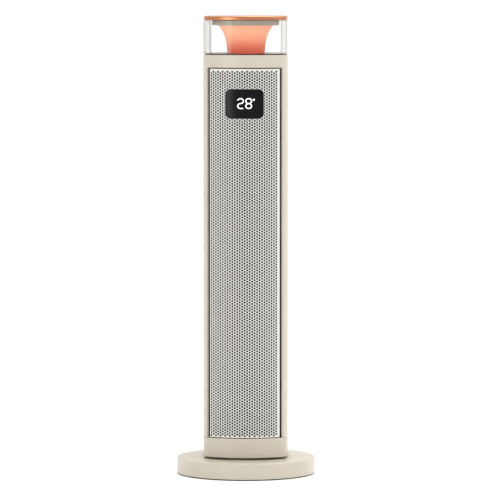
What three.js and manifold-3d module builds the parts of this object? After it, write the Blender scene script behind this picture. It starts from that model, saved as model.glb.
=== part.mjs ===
// A ceramic tower heater: a round weighted base, and a tall column that swings on it. The column holds a
// cross-flow fan, a PTC heating element, a perforated front grille with a display, and a clear lit crown.
// Millimetres. +Z is up, -Y is the front, and the origin is on the floor under the middle of the base.
import * as THREE from "three";
import { mergeVertices } from "three/addons/utils/BufferGeometryUtils.js";
import Module from "manifold-3d";

const wasm = await Module();
wasm.setup();

// ---------------------------------------------------------------- driving dimensions

// Fits
const gap = 0.3; // left between two fixed pieces that meet
const runningGap = 0.4; // left round a piece that turns or slides
const overlap = 0.5; // how far two shapes of one piece run into each other before they are joined
const beyond = 5; // how far a cut runs past the face that it opens

// Facets round a circle
const wideSides = 44;
const middleSides = 24;
const smallSides = 14;
const screwSides = 8;
const faceSteps = 8; // along the column's front arc
const cornerSteps = 5; // along each of its corners
const windowCornerSteps = 4; // along each of the display window's corners

// Column outline, seen from above: a shallow arc at front and back, round corners and straight flanks
const columnWidth = 121;
const columnDepth = 120;
const faceRadius = 100;
const cornerRadius = 25;
const shellWall = 2.6;

// Heights of the column's sections
const swivelGap = 3; // open ring between the base and the column
const collarHeight = 28;
const shellHeight = 549.2;
const crownSeam = 2; // dark line between the shell and the crown
const crownHeight = 47.2;
const lidThickness = 6;

// Base
const baseRadius = 100;
const baseHeight = 23.5;
const baseWall = 3;
const basePlateThickness = 2.5;
const footStand = 1.5;
const footRadius = 8;
const footSeat = 1.2; // depth of the pocket that holds a foot
const footInset = 16; // from the base's edge to a foot's middle
const footAngles = [45, 135, 225, 315];
const baseScrewInset = 14; // from the base's edge to a screw's middle
const baseScrewAngles = [0, 120, 240];
const bossRadius = 4.2;

// Screws
const screwRadius = 1.5;
const screwHeadRadius = 3.6;
const screwHeadHeight = 1.3;
const screwLength = 12;
const screwPocket = 1.6; // how deep a head sits under the surface
const pilotSpare = 2; // pilot hole left past a screw's end

// Ballast ring
const ballastInner = 42;
const ballastInset = 24; // from the base's edge to the ring's
const ballastHeight = 12.2;

// Swivel
const wellRadius = 28; // hole in the top of the base
const glideWidth = 7;
const glideInset = 5; // from the turntable's edge to the glide ring's
const glideGroove = 1.4;
const glideProud = 0.7; // how far the glide ring stands above the base
const turntableInset = 8; // from the column's outline to the turntable's edge
const turntableThickness = 2.9;
const spindleRadius = 10;
const spindleBore = 6.5;
const gearCupRadius = 36;
const gearCupFloor = 2.5;
const gearCupHeight = 11;
const clipThickness = 2.2;
const clipRadius = 15;

// Swing gearing: a toothed arc inside the cup, and a pinion that rolls along it
const gearModule = 1.6;
const arcTeeth = 32; // on a full circle
const arcTeethCut = 11; // how many of them the cup really has
const pinionTeeth = 8;
const toothThickness = 2; // at the pitch line
const pinionHeight = 6;
const pinionDrop = 1; // from the cup's rim to the pinion's top
const pinionShaftRadius = 2.4;
const swingMotorRadius = 14;
const swingMotorHeight = 18;

// Tip-over switch
const tipSwitchInset = 16; // from the base's front edge to the plunger's middle
const tipStemRadius = 3.4;
const tipFlangeRadius = 4.6;
const tipFlangeThickness = 1.6;
const tipTravel = 5;
const tipFlangeRest = 0.6; // left under the flange when the plunger is out
const tipSwitchRoof = 2;
const tipSwitchWidth = 18;
const tipSwitchDepth = 14;
const tipSwitchHeight = 15.5;
const tipLift = 0.3; // the plunger's end above the floor, pushed in

// Cord gland, in the back of the base
const glandBore = 3.8;
const glandStem = 6;
const glandFlange = 8.6;
const glandFlangeThickness = 2.2;
const glandLength = 14;
const glandInset = 1; // how far the flange stays inside the base's edge
const glandBlockWidth = 24;
const glandBlockDepth = 9;

// Front opening and grille
const openingBorder = 5.7; // from the column's side to the opening, at the front surface
const openingTaper = 2.2; // how much each side closes in towards the grille
const openingReveal = 6.5; // depth of the slanted edge
const openingTopBand = 17.5; // shell above the opening
const lipInset = 9; // how deep the thick edge round the opening is
const lipBand = 4; // how wide that edge is
const lipFront = 6; // how far it may reach in front of the opening's sides
const shellSplit = -6; // where the front frame meets the rear housing on the flanks
const grilleSideGap = 1.6;
const grilleTopGap = 2;
const grilleInset = 1.2; // behind the column's outline
const grilleSheet = 1.2;
const grilleReturn = 11; // depth of the folded sides
const slotColumns = 6;
const slotRows = 6;
const slotWidth = 6;
const slotBridge = 8.95; // sheet left between one slot and the next above it
const grilleMargin = 9;

// Display
const windowWidth = 55;
const windowHeight = 42;
const windowCorner = 6.5;
const windowDrop = 69.5; // from the top of the shell to the window's middle
const windowInset = 0.2;
const windowThickness = 2;
const trayBorder = 4.5;
const trayBack = 45; // distance of the tray's back from the column's axis
const ledModuleWidth = 44;
const ledModuleHeight = 28;
const ledModuleDepth = 6;
const ledModuleRoom = 2; // round the module in its tray
const boardBorder = 2; // of the tray round its board
const boardThickness = 1.6;

// Crown, funnel and lid
const crownWall = 8;
const crownInset = 0.3;
const deckThickness = 7.2;
const deckHole = 24;
const ledBoardRadius = 30;
const ledCircle = 14;
const ledCount = 6;
const ledRadius = 2.6;
const ledHeight = 1.8;
const funnelWall = 1.8;
// How wide the funnel is, at each share of its height
const funnelRadii = [
  [0, 26.9],
  [0.36, 28.5],
  [0.6, 30.7],
  [0.8, 34.2],
  [1, 39.7],
];
const seatInset = 13;
const seatThickness = 7.2;
const touchBoardRadius = 32;
const touchBoardSeat = 3.4;
const lidInset = 1;
const lidRound = 2;
const touchPanelRadius = 20;
const touchPanelThickness = 1.1;

// Fan
const fanY = 12; // the fan's axis, behind the column's
const electronicsHeight = 69; // from the collar to the duct
const ductDrop = 21.5; // from the display's tray to the duct
const bulkheadThickness = 2.6;
const bulkheadInset = 3;
const bulkheadLead = 2; // in front of the heater
const bulkheadNotch = 1; // round the grille's folded sides
const impellerRadius = 27;
const impellerEndGap = 3.4; // between the impeller and each bulkhead
const impellerDisc = 2.4;
const impellerRing = 1.8;
const impellerHubRadius = 8;
const impellerHubHeight = 12;
const bladeCount = 10;
const bladeDepth = 6.3;
const bladeThickness = 1.1;
const shaftRadius = 3;
const fanMotorRadius = 24;
const fanMotorHeight = 32;
const bushRadius = 7.7;
const bushLength = 7;
const bushDrop = 1; // how far it hangs below its bulkhead
const scrollSheet = 1.6;
const scrollClearance = 2.5; // round the impeller, where the scroll is tightest
const scrollLanding = 2; // from the heater's side and back to the scroll's end

// Heating element
const heaterGap = 3.12; // behind the grille, at the heater's sides
const heaterDepth = 15;
const heaterBorder = 16.5; // from the column's side to the heater's
const heaterRail = 6.6; // side rails
const heaterEndRail = 22; // top and bottom rails
const finBanks = 3;
const finPitch = 20;
const finSheet = 0.8;
const finDepth = 12;
const barWidth = 4;
const cutoutRadius = 8;
const cutoutThickness = 4;
const cutoutButton = 2; // how far its button stands out
const cutoutX = 25;

// Rear: air intake with its filter cover, power rocker, housing screws
const intakeBorder = 18.5; // from the column's side to the intake's
const intakeRise = 7; // from the duct's bottom to the intake's
const intakeDrop = 11; // from the duct's top to the intake's
const intakeLedge = 4;
const ledgeDepth = 2;
const coverInset = 0.4;
const coverSheet = 1.9;
const coverGap = 0.5;
const louvreColumns = 2;
const louvreRows = 9;
const louvreHeight = 18;
const louvreBar = 4; // between two columns of louvres
const louvreMargin = 2; // from the intake's clear edge to the louvres
const filterSheet = 1.2;
const housingScrewX = 30;
const postWidth = 10;
const postHeight = 9;
const postDepth = 9;
const postDrop = 1; // from a bulkhead's outer face to its posts' middle
const rockerRise = 30; // from the collar to the rocker's pivot
const rockerWidth = 10;
const rockerReach = 8.3; // from the pivot to the rocker's ends
const rockerRest = 10; // tilt of the rocker when it is off, degrees
const bezelWidth = 14.4;
const bezelHeight = 20.4;
const bezelLip = 2;
const bezelLipThickness = 1.5;
const bezelDepth = 16;
const bezelBackWall = 2;
const bezelEndRoom = 0.2; // past the rocker's ends, on top of the running gap
const rockerPivotDepth = 5.8; // from the bezel's face to the rocker's pivot

// Control board
const controlInset = 9;
const standoffX = 36;
const standoffY = 30;
const standoffRadius = 3.5;

// ---------------------------------------------------------------- places worked out from them

const baseTop = footStand + baseHeight;
const footCircle = baseRadius - footInset;
const baseScrewCircle = baseRadius - baseScrewInset;
const ballastOuter = baseRadius - ballastInset;
const tipSwitchY = tipSwitchInset - baseRadius;
const turntableRadius = Math.min(columnWidth, columnDepth) / 2 - turntableInset;
const glideOuter = turntableRadius - glideInset;
const glideInner = glideOuter - glideWidth;
const plateTop = footStand + basePlateThickness;
const coverUnder = baseTop - baseWall;
const collarBottom = baseTop + swivelGap;
const collarTop = collarBottom + collarHeight;
const shellBottom = collarTop + gap;
const shellTop = shellBottom + shellHeight;
const crownBottom = shellTop + crownSeam;
const crownTop = crownBottom + crownHeight;
const lidBottom = crownTop + gap;
const openingTop = shellTop - openingTopBand;
const openingWidth = columnWidth - 2 * openingBorder;
const turntableBottom = baseTop + glideProud + gap;
const turntableTop = turntableBottom + turntableThickness;
const collarFloorBottom = turntableTop + gap;
const collarFloorThickness = 2.4;
const collarFloorTop = collarFloorBottom + collarFloorThickness;
const gearCupTop = coverUnder - gap;
const gearCupBottom = gearCupTop - gearCupHeight;
const clipTop = gearCupBottom - runningGap;
const arcRadius = (gearModule * arcTeeth) / 2;
const pinionRadius = (gearModule * pinionTeeth) / 2;
const pinionOrbit = arcRadius - pinionRadius;
const deckTop = crownBottom - gap;
const deckBottom = deckTop - deckThickness;
const controlBottom = collarTop + 2;
const windowZ = shellTop - windowDrop;
const trayWidth = windowWidth + 2 * trayBorder;
const trayHeight = windowHeight + 2 * trayBorder;
const ductBottom = collarTop + electronicsHeight;
const ductTop = windowZ - trayHeight / 2 - ductDrop;
const heaterWidth = columnWidth - 2 * heaterBorder;
const intakeWidth = columnWidth - 2 * intakeBorder;
const intakeBottom = ductBottom + intakeRise;
const intakeTop = ductTop - intakeDrop;
const rockerZ = collarTop + rockerRise;
const lowerBulkheadTop = ductBottom + bulkheadThickness;
const upperBulkheadBottom = ductTop - bulkheadThickness;
const faceCentre = faceRadius - columnDepth / 2;
const cornerX = columnWidth / 2 - cornerRadius;
const cornerY = Math.sqrt((faceRadius - cornerRadius) ** 2 - cornerX ** 2) - faceCentre;
const faceHalfAngle = Math.atan2(cornerX, cornerY + faceCentre);
const heaterFront = outlineReach(heaterWidth / 2, grilleInset + grilleSheet) - heaterGap;

// ---------------------------------------------------------------- finishes

const finishes = {
  shell: { color: 0xd8d0c0, roughness: 0.45, metalness: 0 },
  grille: { color: 0xe2dfd6, roughness: 0.35, metalness: 0.4 },
  copper: { color: 0xcb8660, roughness: 0.3, metalness: 0.7 },
  clear: { color: 0xf4f6f4, roughness: 0.05, metalness: 0, transparent: true, opacity: 0.35 },
  funnel: { color: 0xf29a6c, roughness: 0.4, metalness: 0 },
  blackGlass: { color: 0x171717, roughness: 0.08, metalness: 0 },
  grey: { color: 0x8f887c, roughness: 0.5, metalness: 0 },
  dark: { color: 0x2b2a28, roughness: 0.6, metalness: 0 },
  white: { color: 0xe9e6df, roughness: 0.5, metalness: 0 },
  rubber: { color: 0x1c1c1c, roughness: 0.9, metalness: 0 },
  steel: { color: 0xb9bcc0, roughness: 0.35, metalness: 1 },
  castIron: { color: 0x4a4b4d, roughness: 0.7, metalness: 0.8 },
  aluminium: { color: 0xc9ccd0, roughness: 0.4, metalness: 1 },
  board: { color: 0x1f5a3a, roughness: 0.5, metalness: 0 },
  brass: { color: 0xc9a35a, roughness: 0.35, metalness: 1 },
};

// ---------------------------------------------------------------- shapes

// Turns a closed geometry into a solid that can be cut and joined.
function solidOf(geometry) {
  geometry.deleteAttribute("normal");
  geometry.deleteAttribute("uv");
  const merged = mergeVertices(geometry, 1e-4);
  const triVerts = new Uint32Array(merged.index.array);
  const vertProperties = merged.attributes.position.array;
  return new wasm.Manifold(new wasm.Mesh({ numProp: 3, vertProperties, triVerts }));
}

// A named mesh with a material of its own.
function piece(name, solid, finish) {
  const { vertProperties, triVerts } = solid.getMesh();
  const geometry = new THREE.BufferGeometry();
  geometry.setAttribute("position", new THREE.BufferAttribute(vertProperties, 3));
  geometry.setIndex(new THREE.BufferAttribute(triVerts, 1));
  const flat = geometry.toNonIndexed();
  flat.computeVertexNormals();
  const mesh = new THREE.Mesh(flat, new THREE.MeshStandardMaterial(finishes[finish]));
  mesh.name = name;
  return mesh;
}

const cut = (solid, ...tools) => tools.reduce((left, tool) => left.subtract(tool), solid);
const join = (solid, ...others) => others.reduce((whole, other) => whole.add(other), solid);
const keep = (solid, region) => solid.intersect(region);

// Points on an arc, from one angle to another, both ends included.
function arcPoints(x, y, radius, from, to, steps) {
  return Array.from({ length: steps + 1 }, (_, i) => {
    const angle = from + ((to - from) * i) / steps;
    return [x + radius * Math.cos(angle), y + radius * Math.sin(angle)];
  });
}

const circlePoints = (x, y, radius, sides) => arcPoints(x, y, radius, 0, 2 * Math.PI, sides).slice(0, -1);
const shapeOf = (points) => new THREE.Shape(points.map(([x, y]) => new THREE.Vector2(x, y)));

// An upright prism of an outline, with any holes right through it.
function prism(points, bottom, top, ...holes) {
  const shape = shapeOf(points);
  shape.holes = holes.map(shapeOf);
  const geometry = new THREE.ExtrudeGeometry(shape, { depth: top - bottom, bevelEnabled: false });
  return solidOf(geometry.translate(0, 0, bottom));
}

// A solid turned about the z axis. Its profile of [radius, z] starts and ends on the axis or closes.
function turned(profile, sides = middleSides) {
  const onAxis = profile[0][0] === 0;
  const closed = onAxis ? profile : [...profile, profile[0]];
  let area = 0;
  closed.slice(1).forEach(([r, z], i) => {
    area += closed[i][0] * z - r * closed[i][1];
  });
  const points = (area < 0 ? closed.reverse() : closed).map(([r, z]) => new THREE.Vector2(r, z));
  return solidOf(new THREE.LatheGeometry(points, sides).rotateX(Math.PI / 2));
}

function rod(x, y, radius, bottom, top, sides = smallSides) {
  return prism(circlePoints(x, y, radius, sides), bottom, top);
}

function box(x0, x1, y0, y1, z0, z1) {
  const geometry = new THREE.BoxGeometry(x1 - x0, y1 - y0, z1 - z0);
  return solidOf(geometry.translate((x0 + x1) / 2, (y0 + y1) / 2, (z0 + z1) / 2));
}

// A box that is as far to the left of the column's axis as to its right.
const centredBox = (width, y0, y1, z0, z1) => box(-width / 2, width / 2, y0, y1, z0, z1);

// A rod that lies along the y axis.
function rodAlongY(x, z, radius, y0, y1, sides = smallSides) {
  const geometry = new THREE.CylinderGeometry(radius, radius, y1 - y0, sides);
  return solidOf(geometry.translate(x, (y0 + y1) / 2, z));
}

// A block with a rounded rectangle as its front view.
function roundedBlock(width, height, corner, middleZ, y0, y1) {
  const x = width / 2 - corner;
  const z = height / 2 - corner;
  const quarter = Math.PI / 2;
  const points = [
    ...arcPoints(x, z, corner, 0, quarter, windowCornerSteps),
    ...arcPoints(-x, z, corner, quarter, 2 * quarter, windowCornerSteps),
    ...arcPoints(-x, -z, corner, 2 * quarter, 3 * quarter, windowCornerSteps),
    ...arcPoints(x, -z, corner, 3 * quarter, 4 * quarter, windowCornerSteps),
  ];
  const geometry = new THREE.ExtrudeGeometry(shapeOf(points), { depth: y1 - y0, bevelEnabled: false });
  return solidOf(geometry.rotateX(Math.PI / 2).translate(0, y1, middleZ));
}

// The column's outline from above, moved in by an inset.
function columnOutline(inset = 0) {
  const face = faceRadius - inset;
  const corner = cornerRadius - inset;
  const half = Math.PI;
  const quarter = half / 2;
  const rightCorner = quarter - faceHalfAngle;
  return [
    ...arcPoints(0, faceCentre, face, -quarter - faceHalfAngle, -quarter + faceHalfAngle, faceSteps),
    ...arcPoints(cornerX, -cornerY, corner, -rightCorner, 0, cornerSteps).slice(1),
    ...arcPoints(cornerX, cornerY, corner, 0, rightCorner, cornerSteps),
    ...arcPoints(0, -faceCentre, face, rightCorner, half - rightCorner, faceSteps).slice(1),
    ...arcPoints(-cornerX, cornerY, corner, half - rightCorner, half, cornerSteps).slice(1),
    ...arcPoints(-cornerX, -cornerY, corner, half, half + rightCorner, cornerSteps).slice(0, -1),
  ];
}

// How far the outline stands in front of the column's axis at a given x.
function outlineReach(x, inset = 0) {
  const face = faceRadius - inset;
  const side = Math.abs(x);
  if (side <= face * Math.sin(faceHalfAngle)) return Math.sqrt(face ** 2 - side ** 2) - faceCentre;
  return cornerY + Math.sqrt((cornerRadius - inset) ** 2 - (side - cornerX) ** 2);
}

const columnPrism = (inset, bottom, top) => prism(columnOutline(inset), bottom, top);

// A wall that follows the column's outline between two insets.
function columnWall(outer, inner, bottom, top) {
  return prism(columnOutline(outer), bottom, top, columnOutline(inner));
}

// A region in front of the column's axis, or behind it, for keeping part of a wall.
const frontRegion = (width, back, bottom, top) => centredBox(width, -columnDepth, -back, bottom, top);
const rearRegion = (width, front, bottom, top) => centredBox(width, front, columnDepth, bottom, top);

// A thin sheet that follows a line of points, seen from above.
function ribbon(line, thickness, bottom, top) {
  const path = line.map(([x, y]) => new THREE.Vector2(x, y));
  const side = (i, sign) => {
    const before = path[Math.max(i - 1, 0)];
    const after = path[Math.min(i + 1, path.length - 1)];
    const along = after.clone().sub(before).normalize();
    return [
      path[i].x - (sign * along.y * thickness) / 2,
      path[i].y + (sign * along.x * thickness) / 2,
    ];
  };
  const left = path.map((_, i) => side(i, 1));
  const right = path.map((_, i) => side(i, -1));
  return prism([...right, ...left.reverse()], bottom, top);
}

const around = (angle, radius) => {
  const turn = THREE.MathUtils.degToRad(angle);
  return [radius * Math.cos(turn), radius * Math.sin(turn)];
};

// ---------------------------------------------------------------- base

function baseCover() {
  const edge = 1.2;
  const shoulder = 2.4;
  const facet = 0.3 * shoulder;
  const shell = turned(
    [
      [baseRadius - edge, footStand],
      [baseRadius, footStand + edge],
      [baseRadius, baseTop - shoulder],
      [baseRadius - facet, baseTop - facet],
      [baseRadius - shoulder, baseTop],
      [glideOuter + gap, baseTop],
      [glideOuter + gap, baseTop - glideGroove],
      [glideInner - gap, baseTop - glideGroove],
      [glideInner - gap, baseTop],
      [wellRadius, baseTop],
      [wellRadius, coverUnder],
      [baseRadius - baseWall - shoulder, coverUnder],
      [baseRadius - baseWall, coverUnder - shoulder],
      [baseRadius - baseWall, footStand],
    ],
    wideSides,
  );
  const bosses = baseScrewAngles.map((angle) => {
    const [x, y] = around(angle, baseScrewCircle);
    return rod(x, y, bossRadius, plateTop + gap, coverUnder + overlap, screwSides);
  });
  const pilotTop = footStand + screwPocket + screwLength + pilotSpare;
  const pilots = baseScrewAngles.map((angle) => {
    const [x, y] = around(angle, baseScrewCircle);
    return rod(x, y, screwRadius + gap, footStand, pilotTop, screwSides);
  });
  const glandZ = (plateTop + coverUnder) / 2;
  const blockBack = baseRadius - baseWall;
  const block = centredBox(
    glandBlockWidth, blockBack - glandBlockDepth, blockBack, plateTop + gap, coverUnder + overlap,
  );
  const flangeFace = baseRadius - glandInset - glandFlangeThickness - gap;
  const stemHole = rodAlongY(0, glandZ, glandStem + gap, blockBack - 2 * glandBlockDepth, baseRadius);
  const flangePocket = rodAlongY(0, glandZ, glandFlange + gap, flangeFace, baseRadius + beyond);
  const solid = cut(join(shell, block, ...bosses), ...pilots, stemHole, flangePocket);
  return piece("base_cover", solid, "shell");
}

function basePlate() {
  const disc = rod(0, 0, baseRadius - baseWall - gap, footStand, plateTop, wideSides);
  const seats = footAngles.map((angle) => {
    const [x, y] = around(angle, footCircle);
    return rod(x, y, footRadius + gap, footStand - beyond, footStand + footSeat);
  });
  const screwHoles = baseScrewAngles.flatMap((angle) => {
    const [x, y] = around(angle, baseScrewCircle);
    return [
      rod(x, y, screwRadius + gap, footStand - beyond, plateTop + beyond, screwSides),
      rod(x, y, screwHeadRadius + gap, footStand - beyond, footStand + screwPocket),
    ];
  });
  const plungerHole = rod(0, tipSwitchY, tipStemRadius + runningGap, footStand - beyond, plateTop + beyond);
  return piece("base_plate", cut(disc, ...seats, ...screwHoles, plungerHole), "dark");
}

function rubberFeet() {
  const top = footStand + footSeat - gap;
  const edge = 0.9;
  return footAngles.map((angle, i) => {
    const [x, y] = around(angle, footCircle);
    const profile = [[0, 0], [footRadius - edge, 0], [footRadius, edge], [footRadius, top], [0, top]];
    const foot = turned(profile, smallSides);
    return piece(`rubber_foot_${i + 1}`, foot.translate([x, y, 0]), "rubber");
  });
}

// A pan-head screw along z with its head down, its head's top at z = 0.
function screw() {
  const round = 0.4;
  return turned(
    [
      [0, 0],
      [screwHeadRadius - round, 0],
      [screwHeadRadius, round],
      [screwHeadRadius, screwHeadHeight],
      [screwRadius, screwHeadHeight],
      [screwRadius, screwLength],
      [0, screwLength],
    ],
    screwSides,
  );
}

function baseScrews() {
  return baseScrewAngles.map((angle, i) => {
    const [x, y] = around(angle, baseScrewCircle);
    const headTop = footStand + screwPocket - gap - screwHeadHeight;
    return piece(`base_screw_${i + 1}`, screw().translate([x, y, headTop]), "steel");
  });
}

function ballastRing() {
  const bottom = plateTop + gap;
  const top = bottom + ballastHeight;
  const ring = turned(
    [[ballastInner, bottom], [ballastOuter, bottom], [ballastOuter, top], [ballastInner, top]],
    middleSides,
  );
  const switchRoom = box(
    -tipSwitchWidth / 2 - gap, tipSwitchWidth / 2 + gap,
    tipSwitchY - tipSwitchDepth, tipSwitchY + tipSwitchDepth / 2 + gap,
    bottom - beyond, top + beyond,
  );
  return piece("ballast_ring", cut(ring, switchRoom), "castIron");
}

function glideRing() {
  const bottom = baseTop - glideGroove + gap;
  const top = baseTop + glideProud;
  const profile = [[glideInner, bottom], [glideOuter, bottom], [glideOuter, top], [glideInner, top]];
  const ring = turned(profile, wideSides);
  return piece("glide_ring", ring, "white");
}

// Tooth flanks, as half-widths at the root, pitch line and tip.
const toothSlope = Math.tan(THREE.MathUtils.degToRad(20));
const addendum = 0.7 * gearModule;
const dedendum = 1.1 * gearModule;
const tipHalf = toothThickness / 2 - addendum * toothSlope;
const rootHalf = toothThickness / 2 + dedendum * toothSlope;

// The fixed cup under the base's top. Its toothed arc faces the axis, and its floor carries the spindle.
function swingGearCup() {
  const tipRadius = arcRadius - addendum;
  const rootRadius = arcRadius + dedendum;
  const wall = rootRadius + overlap;
  const bearing = spindleRadius + gap;
  const cup = turned(
    [
      [bearing, gearCupBottom],
      [gearCupRadius, gearCupBottom],
      [gearCupRadius, gearCupTop],
      [wall, gearCupTop],
      [wall, gearCupBottom + gearCupFloor],
      [bearing, gearCupBottom + gearCupFloor],
    ],
    middleSides,
  );
  const pitchAngle = 360 / arcTeeth;
  const teeth = Array.from({ length: arcTeethCut + 1 }, (_, i) => {
    const angle = THREE.MathUtils.degToRad(90 + (i - arcTeethCut / 2) * pitchAngle);
    const points = [
      [wall + overlap, -rootHalf],
      [rootRadius, -rootHalf],
      [tipRadius, -tipHalf],
      [tipRadius, tipHalf],
      [rootRadius, rootHalf],
      [wall + overlap, rootHalf],
    ].map(([r, across]) => [
      r * Math.cos(angle) - across * Math.sin(angle),
      r * Math.sin(angle) + across * Math.cos(angle),
    ]);
    return prism(points.reverse(), gearCupBottom + gearCupFloor - overlap, gearCupTop);
  });
  return piece("swing_gear_cup", join(cup, ...teeth), "white");
}

function tipSwitch() {
  const bottom = plateTop + gap;
  const top = bottom + tipSwitchHeight;
  const body = box(
    -tipSwitchWidth / 2, tipSwitchWidth / 2,
    tipSwitchY - tipSwitchDepth / 2, tipSwitchY + tipSwitchDepth / 2,
    bottom, top,
  );
  const chamber = rod(0, tipSwitchY, tipFlangeRadius + runningGap, bottom - beyond, top - tipSwitchRoof);
  return piece("tip_switch", cut(body, chamber), "dark");
}

function tipPlunger() {
  const flangeBottom = plateTop + tipTravel + tipFlangeRest;
  const flangeTop = flangeBottom + tipFlangeThickness;
  const edge = 0.7;
  const plunger = turned(
    [
      [0, tipLift],
      [tipStemRadius - edge, tipLift],
      [tipStemRadius, tipLift + edge],
      [tipStemRadius, flangeBottom],
      [tipFlangeRadius, flangeBottom],
      [tipFlangeRadius, flangeTop],
      [0, flangeTop],
    ],
    smallSides,
  );
  return piece("tip_plunger", plunger.translate([0, tipSwitchY, 0]), "dark");
}

function cordGland() {
  const outer = baseRadius - glandInset;
  const flangeBack = outer - glandFlangeThickness;
  const round = 0.6;
  const bush = turned(
    [
      [glandBore, -outer],
      [glandFlange - round, -outer],
      [glandFlange, -outer + round],
      [glandFlange, -flangeBack],
      [glandStem, -flangeBack],
      [glandStem, -outer + glandLength],
      [glandBore, -outer + glandLength],
    ],
    smallSides,
  );
  const glandZ = (plateTop + coverUnder) / 2;
  return piece("cord_gland", bush.rotate([90, 0, 0]).translate([0, 0, glandZ]), "rubber");
}

// ---------------------------------------------------------------- swivel

function turntable() {
  const hub = turned(
    [
      [spindleBore, gearCupBottom - clipThickness - 2 * runningGap],
      [spindleRadius, gearCupBottom - clipThickness - 2 * runningGap],
      [spindleRadius, turntableBottom],
      [turntableRadius, turntableBottom],
      [turntableRadius, turntableTop],
      [spindleBore, turntableTop],
    ],
    middleSides,
  );
  return piece("turntable", cut(hub, pinionShaftHole()), "dark");
}

const pinionShaftHole = () =>
  rod(0, pinionOrbit, pinionShaftRadius + runningGap, turntableBottom - beyond, collarFloorTop + beyond);

function spindleClip() {
  const inner = spindleRadius + gap;
  const bottom = clipTop - clipThickness;
  const profile = [[inner, bottom], [clipRadius, bottom], [clipRadius, clipTop], [inner, clipTop]];
  const ring = turned(profile, smallSides);
  return piece("spindle_clip", ring, "steel");
}

function swingPinion() {
  const top = gearCupTop - pinionDrop;
  const bottom = top - pinionHeight;
  const tip = pinionRadius + addendum;
  const root = pinionRadius - dedendum;
  const rootShare = 0.98; // of the pitch that two neighbouring roots may fill
  const half = (width, radius) => width / radius;
  const outline = Array.from({ length: pinionTeeth }, (_, i) => {
    const middle = Math.PI / 2 + (i * 2 * Math.PI) / pinionTeeth;
    const rootAngle = Math.min(half(rootHalf, root), (rootShare * Math.PI) / pinionTeeth);
    return [
      [root, -rootAngle],
      [tip, -half(tipHalf, tip)],
      [tip, half(tipHalf, tip)],
      [root, rootAngle],
    ].map(([r, turn]) => [r * Math.cos(middle + turn), r * Math.sin(middle + turn)]);
  }).flat();
  const gear = prism(outline, bottom, top).translate([0, pinionOrbit, 0]);
  const shaft = rod(0, pinionOrbit, pinionShaftRadius, top - overlap, collarFloorTop);
  return piece("swing_pinion", join(gear, shaft), "white");
}

function swingMotor() {
  const bottom = collarFloorTop + gap;
  const earReach = 21;
  const earHalfWidth = 4;
  const earThickness = 1.2;
  const wireHalfWidth = 7;
  const wireDepth = 4;
  const wireDrop = 2; // from the can's ends to the wire cover's
  const can = rod(0, pinionOrbit, swingMotorRadius, bottom, bottom + swingMotorHeight, middleSides);
  const ears = box(
    -earReach, earReach, pinionOrbit - earHalfWidth, pinionOrbit + earHalfWidth,
    bottom, bottom + earThickness,
  );
  const canBack = pinionOrbit + swingMotorRadius;
  const wireBox = box(
    -wireHalfWidth, wireHalfWidth, canBack - wireDepth / 2, canBack + wireDepth,
    bottom + wireDrop, bottom + swingMotorHeight - wireDrop,
  );
  return piece("swing_motor", join(can, ears, wireBox), "steel");
}

// ---------------------------------------------------------------- column shells

function bottomCollar() {
  const wall = columnWall(0, shellWall, collarBottom, collarTop);
  const floor = prism(
    columnOutline(shellWall - overlap), collarFloorBottom, collarFloorTop,
    circlePoints(0, 0, spindleBore + 2, smallSides),
  );
  const standoffs = [-1, 1].flatMap((x) =>
    [-1, 1].map((y) =>
      rod(
        x * standoffX, y * standoffY, standoffRadius,
        collarFloorTop - overlap, controlBottom - gap, screwSides,
      ),
    ),
  );
  return piece("bottom_collar", cut(join(wall, floor, ...standoffs), pinionShaftHole()), "shell");
}

function frontFrame() {
  const half = openingWidth / 2;
  const edgeY = outlineReach(half);
  const shell = columnWall(0, shellWall, shellBottom, shellTop);
  const thick = columnWall(overlap / 2, lipInset, shellBottom, openingTop + lipBand);
  const lips = [-1, 1].map((side) => {
    const inner = side * (half - openingTaper - overlap);
    const outer = side * (half + lipBand);
    const left = Math.min(inner, outer);
    const right = Math.max(inner, outer);
    const top = openingTop + lipBand;
    return keep(thick, box(left, right, -edgeY - lipFront, -edgeY + openingReveal, shellBottom, top));
  });
  const ledge = keep(
    columnWall(overlap / 2, lipInset, openingTop, openingTop + lipBand),
    frontRegion(openingWidth, edgeY - openingReveal, openingTop, openingTop + lipBand),
  );
  const taper = openingTaper / openingReveal;
  const wide = half + taper * (columnDepth - edgeY);
  const narrow = half - openingTaper - taper * (columnDepth / 2 - openingReveal);
  const opening = prism(
    [
      [-wide, -columnDepth],
      [wide, -columnDepth],
      [half - openingTaper, -edgeY + openingReveal],
      [narrow, 0],
      [-narrow, 0],
      [-half + openingTaper, -edgeY + openingReveal],
    ],
    shellBottom - beyond, openingTop,
  );
  const front = keep(join(shell, ...lips, ledge), frontRegion(2 * columnWidth, -shellSplit, 0, shellTop));
  return piece("front_frame", cut(front, opening), "shell");
}

const intakeMiddle = (intakeTop + intakeBottom) / 2;
const intakeHeight = intakeTop - intakeBottom;

// The two screws at a bulkhead sit just clear of the intake.
const screwHeights = [ductBottom - postDrop, ductTop + postDrop];
const screwSeatY = outlineReach(housingScrewX) - screwPocket;

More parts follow.
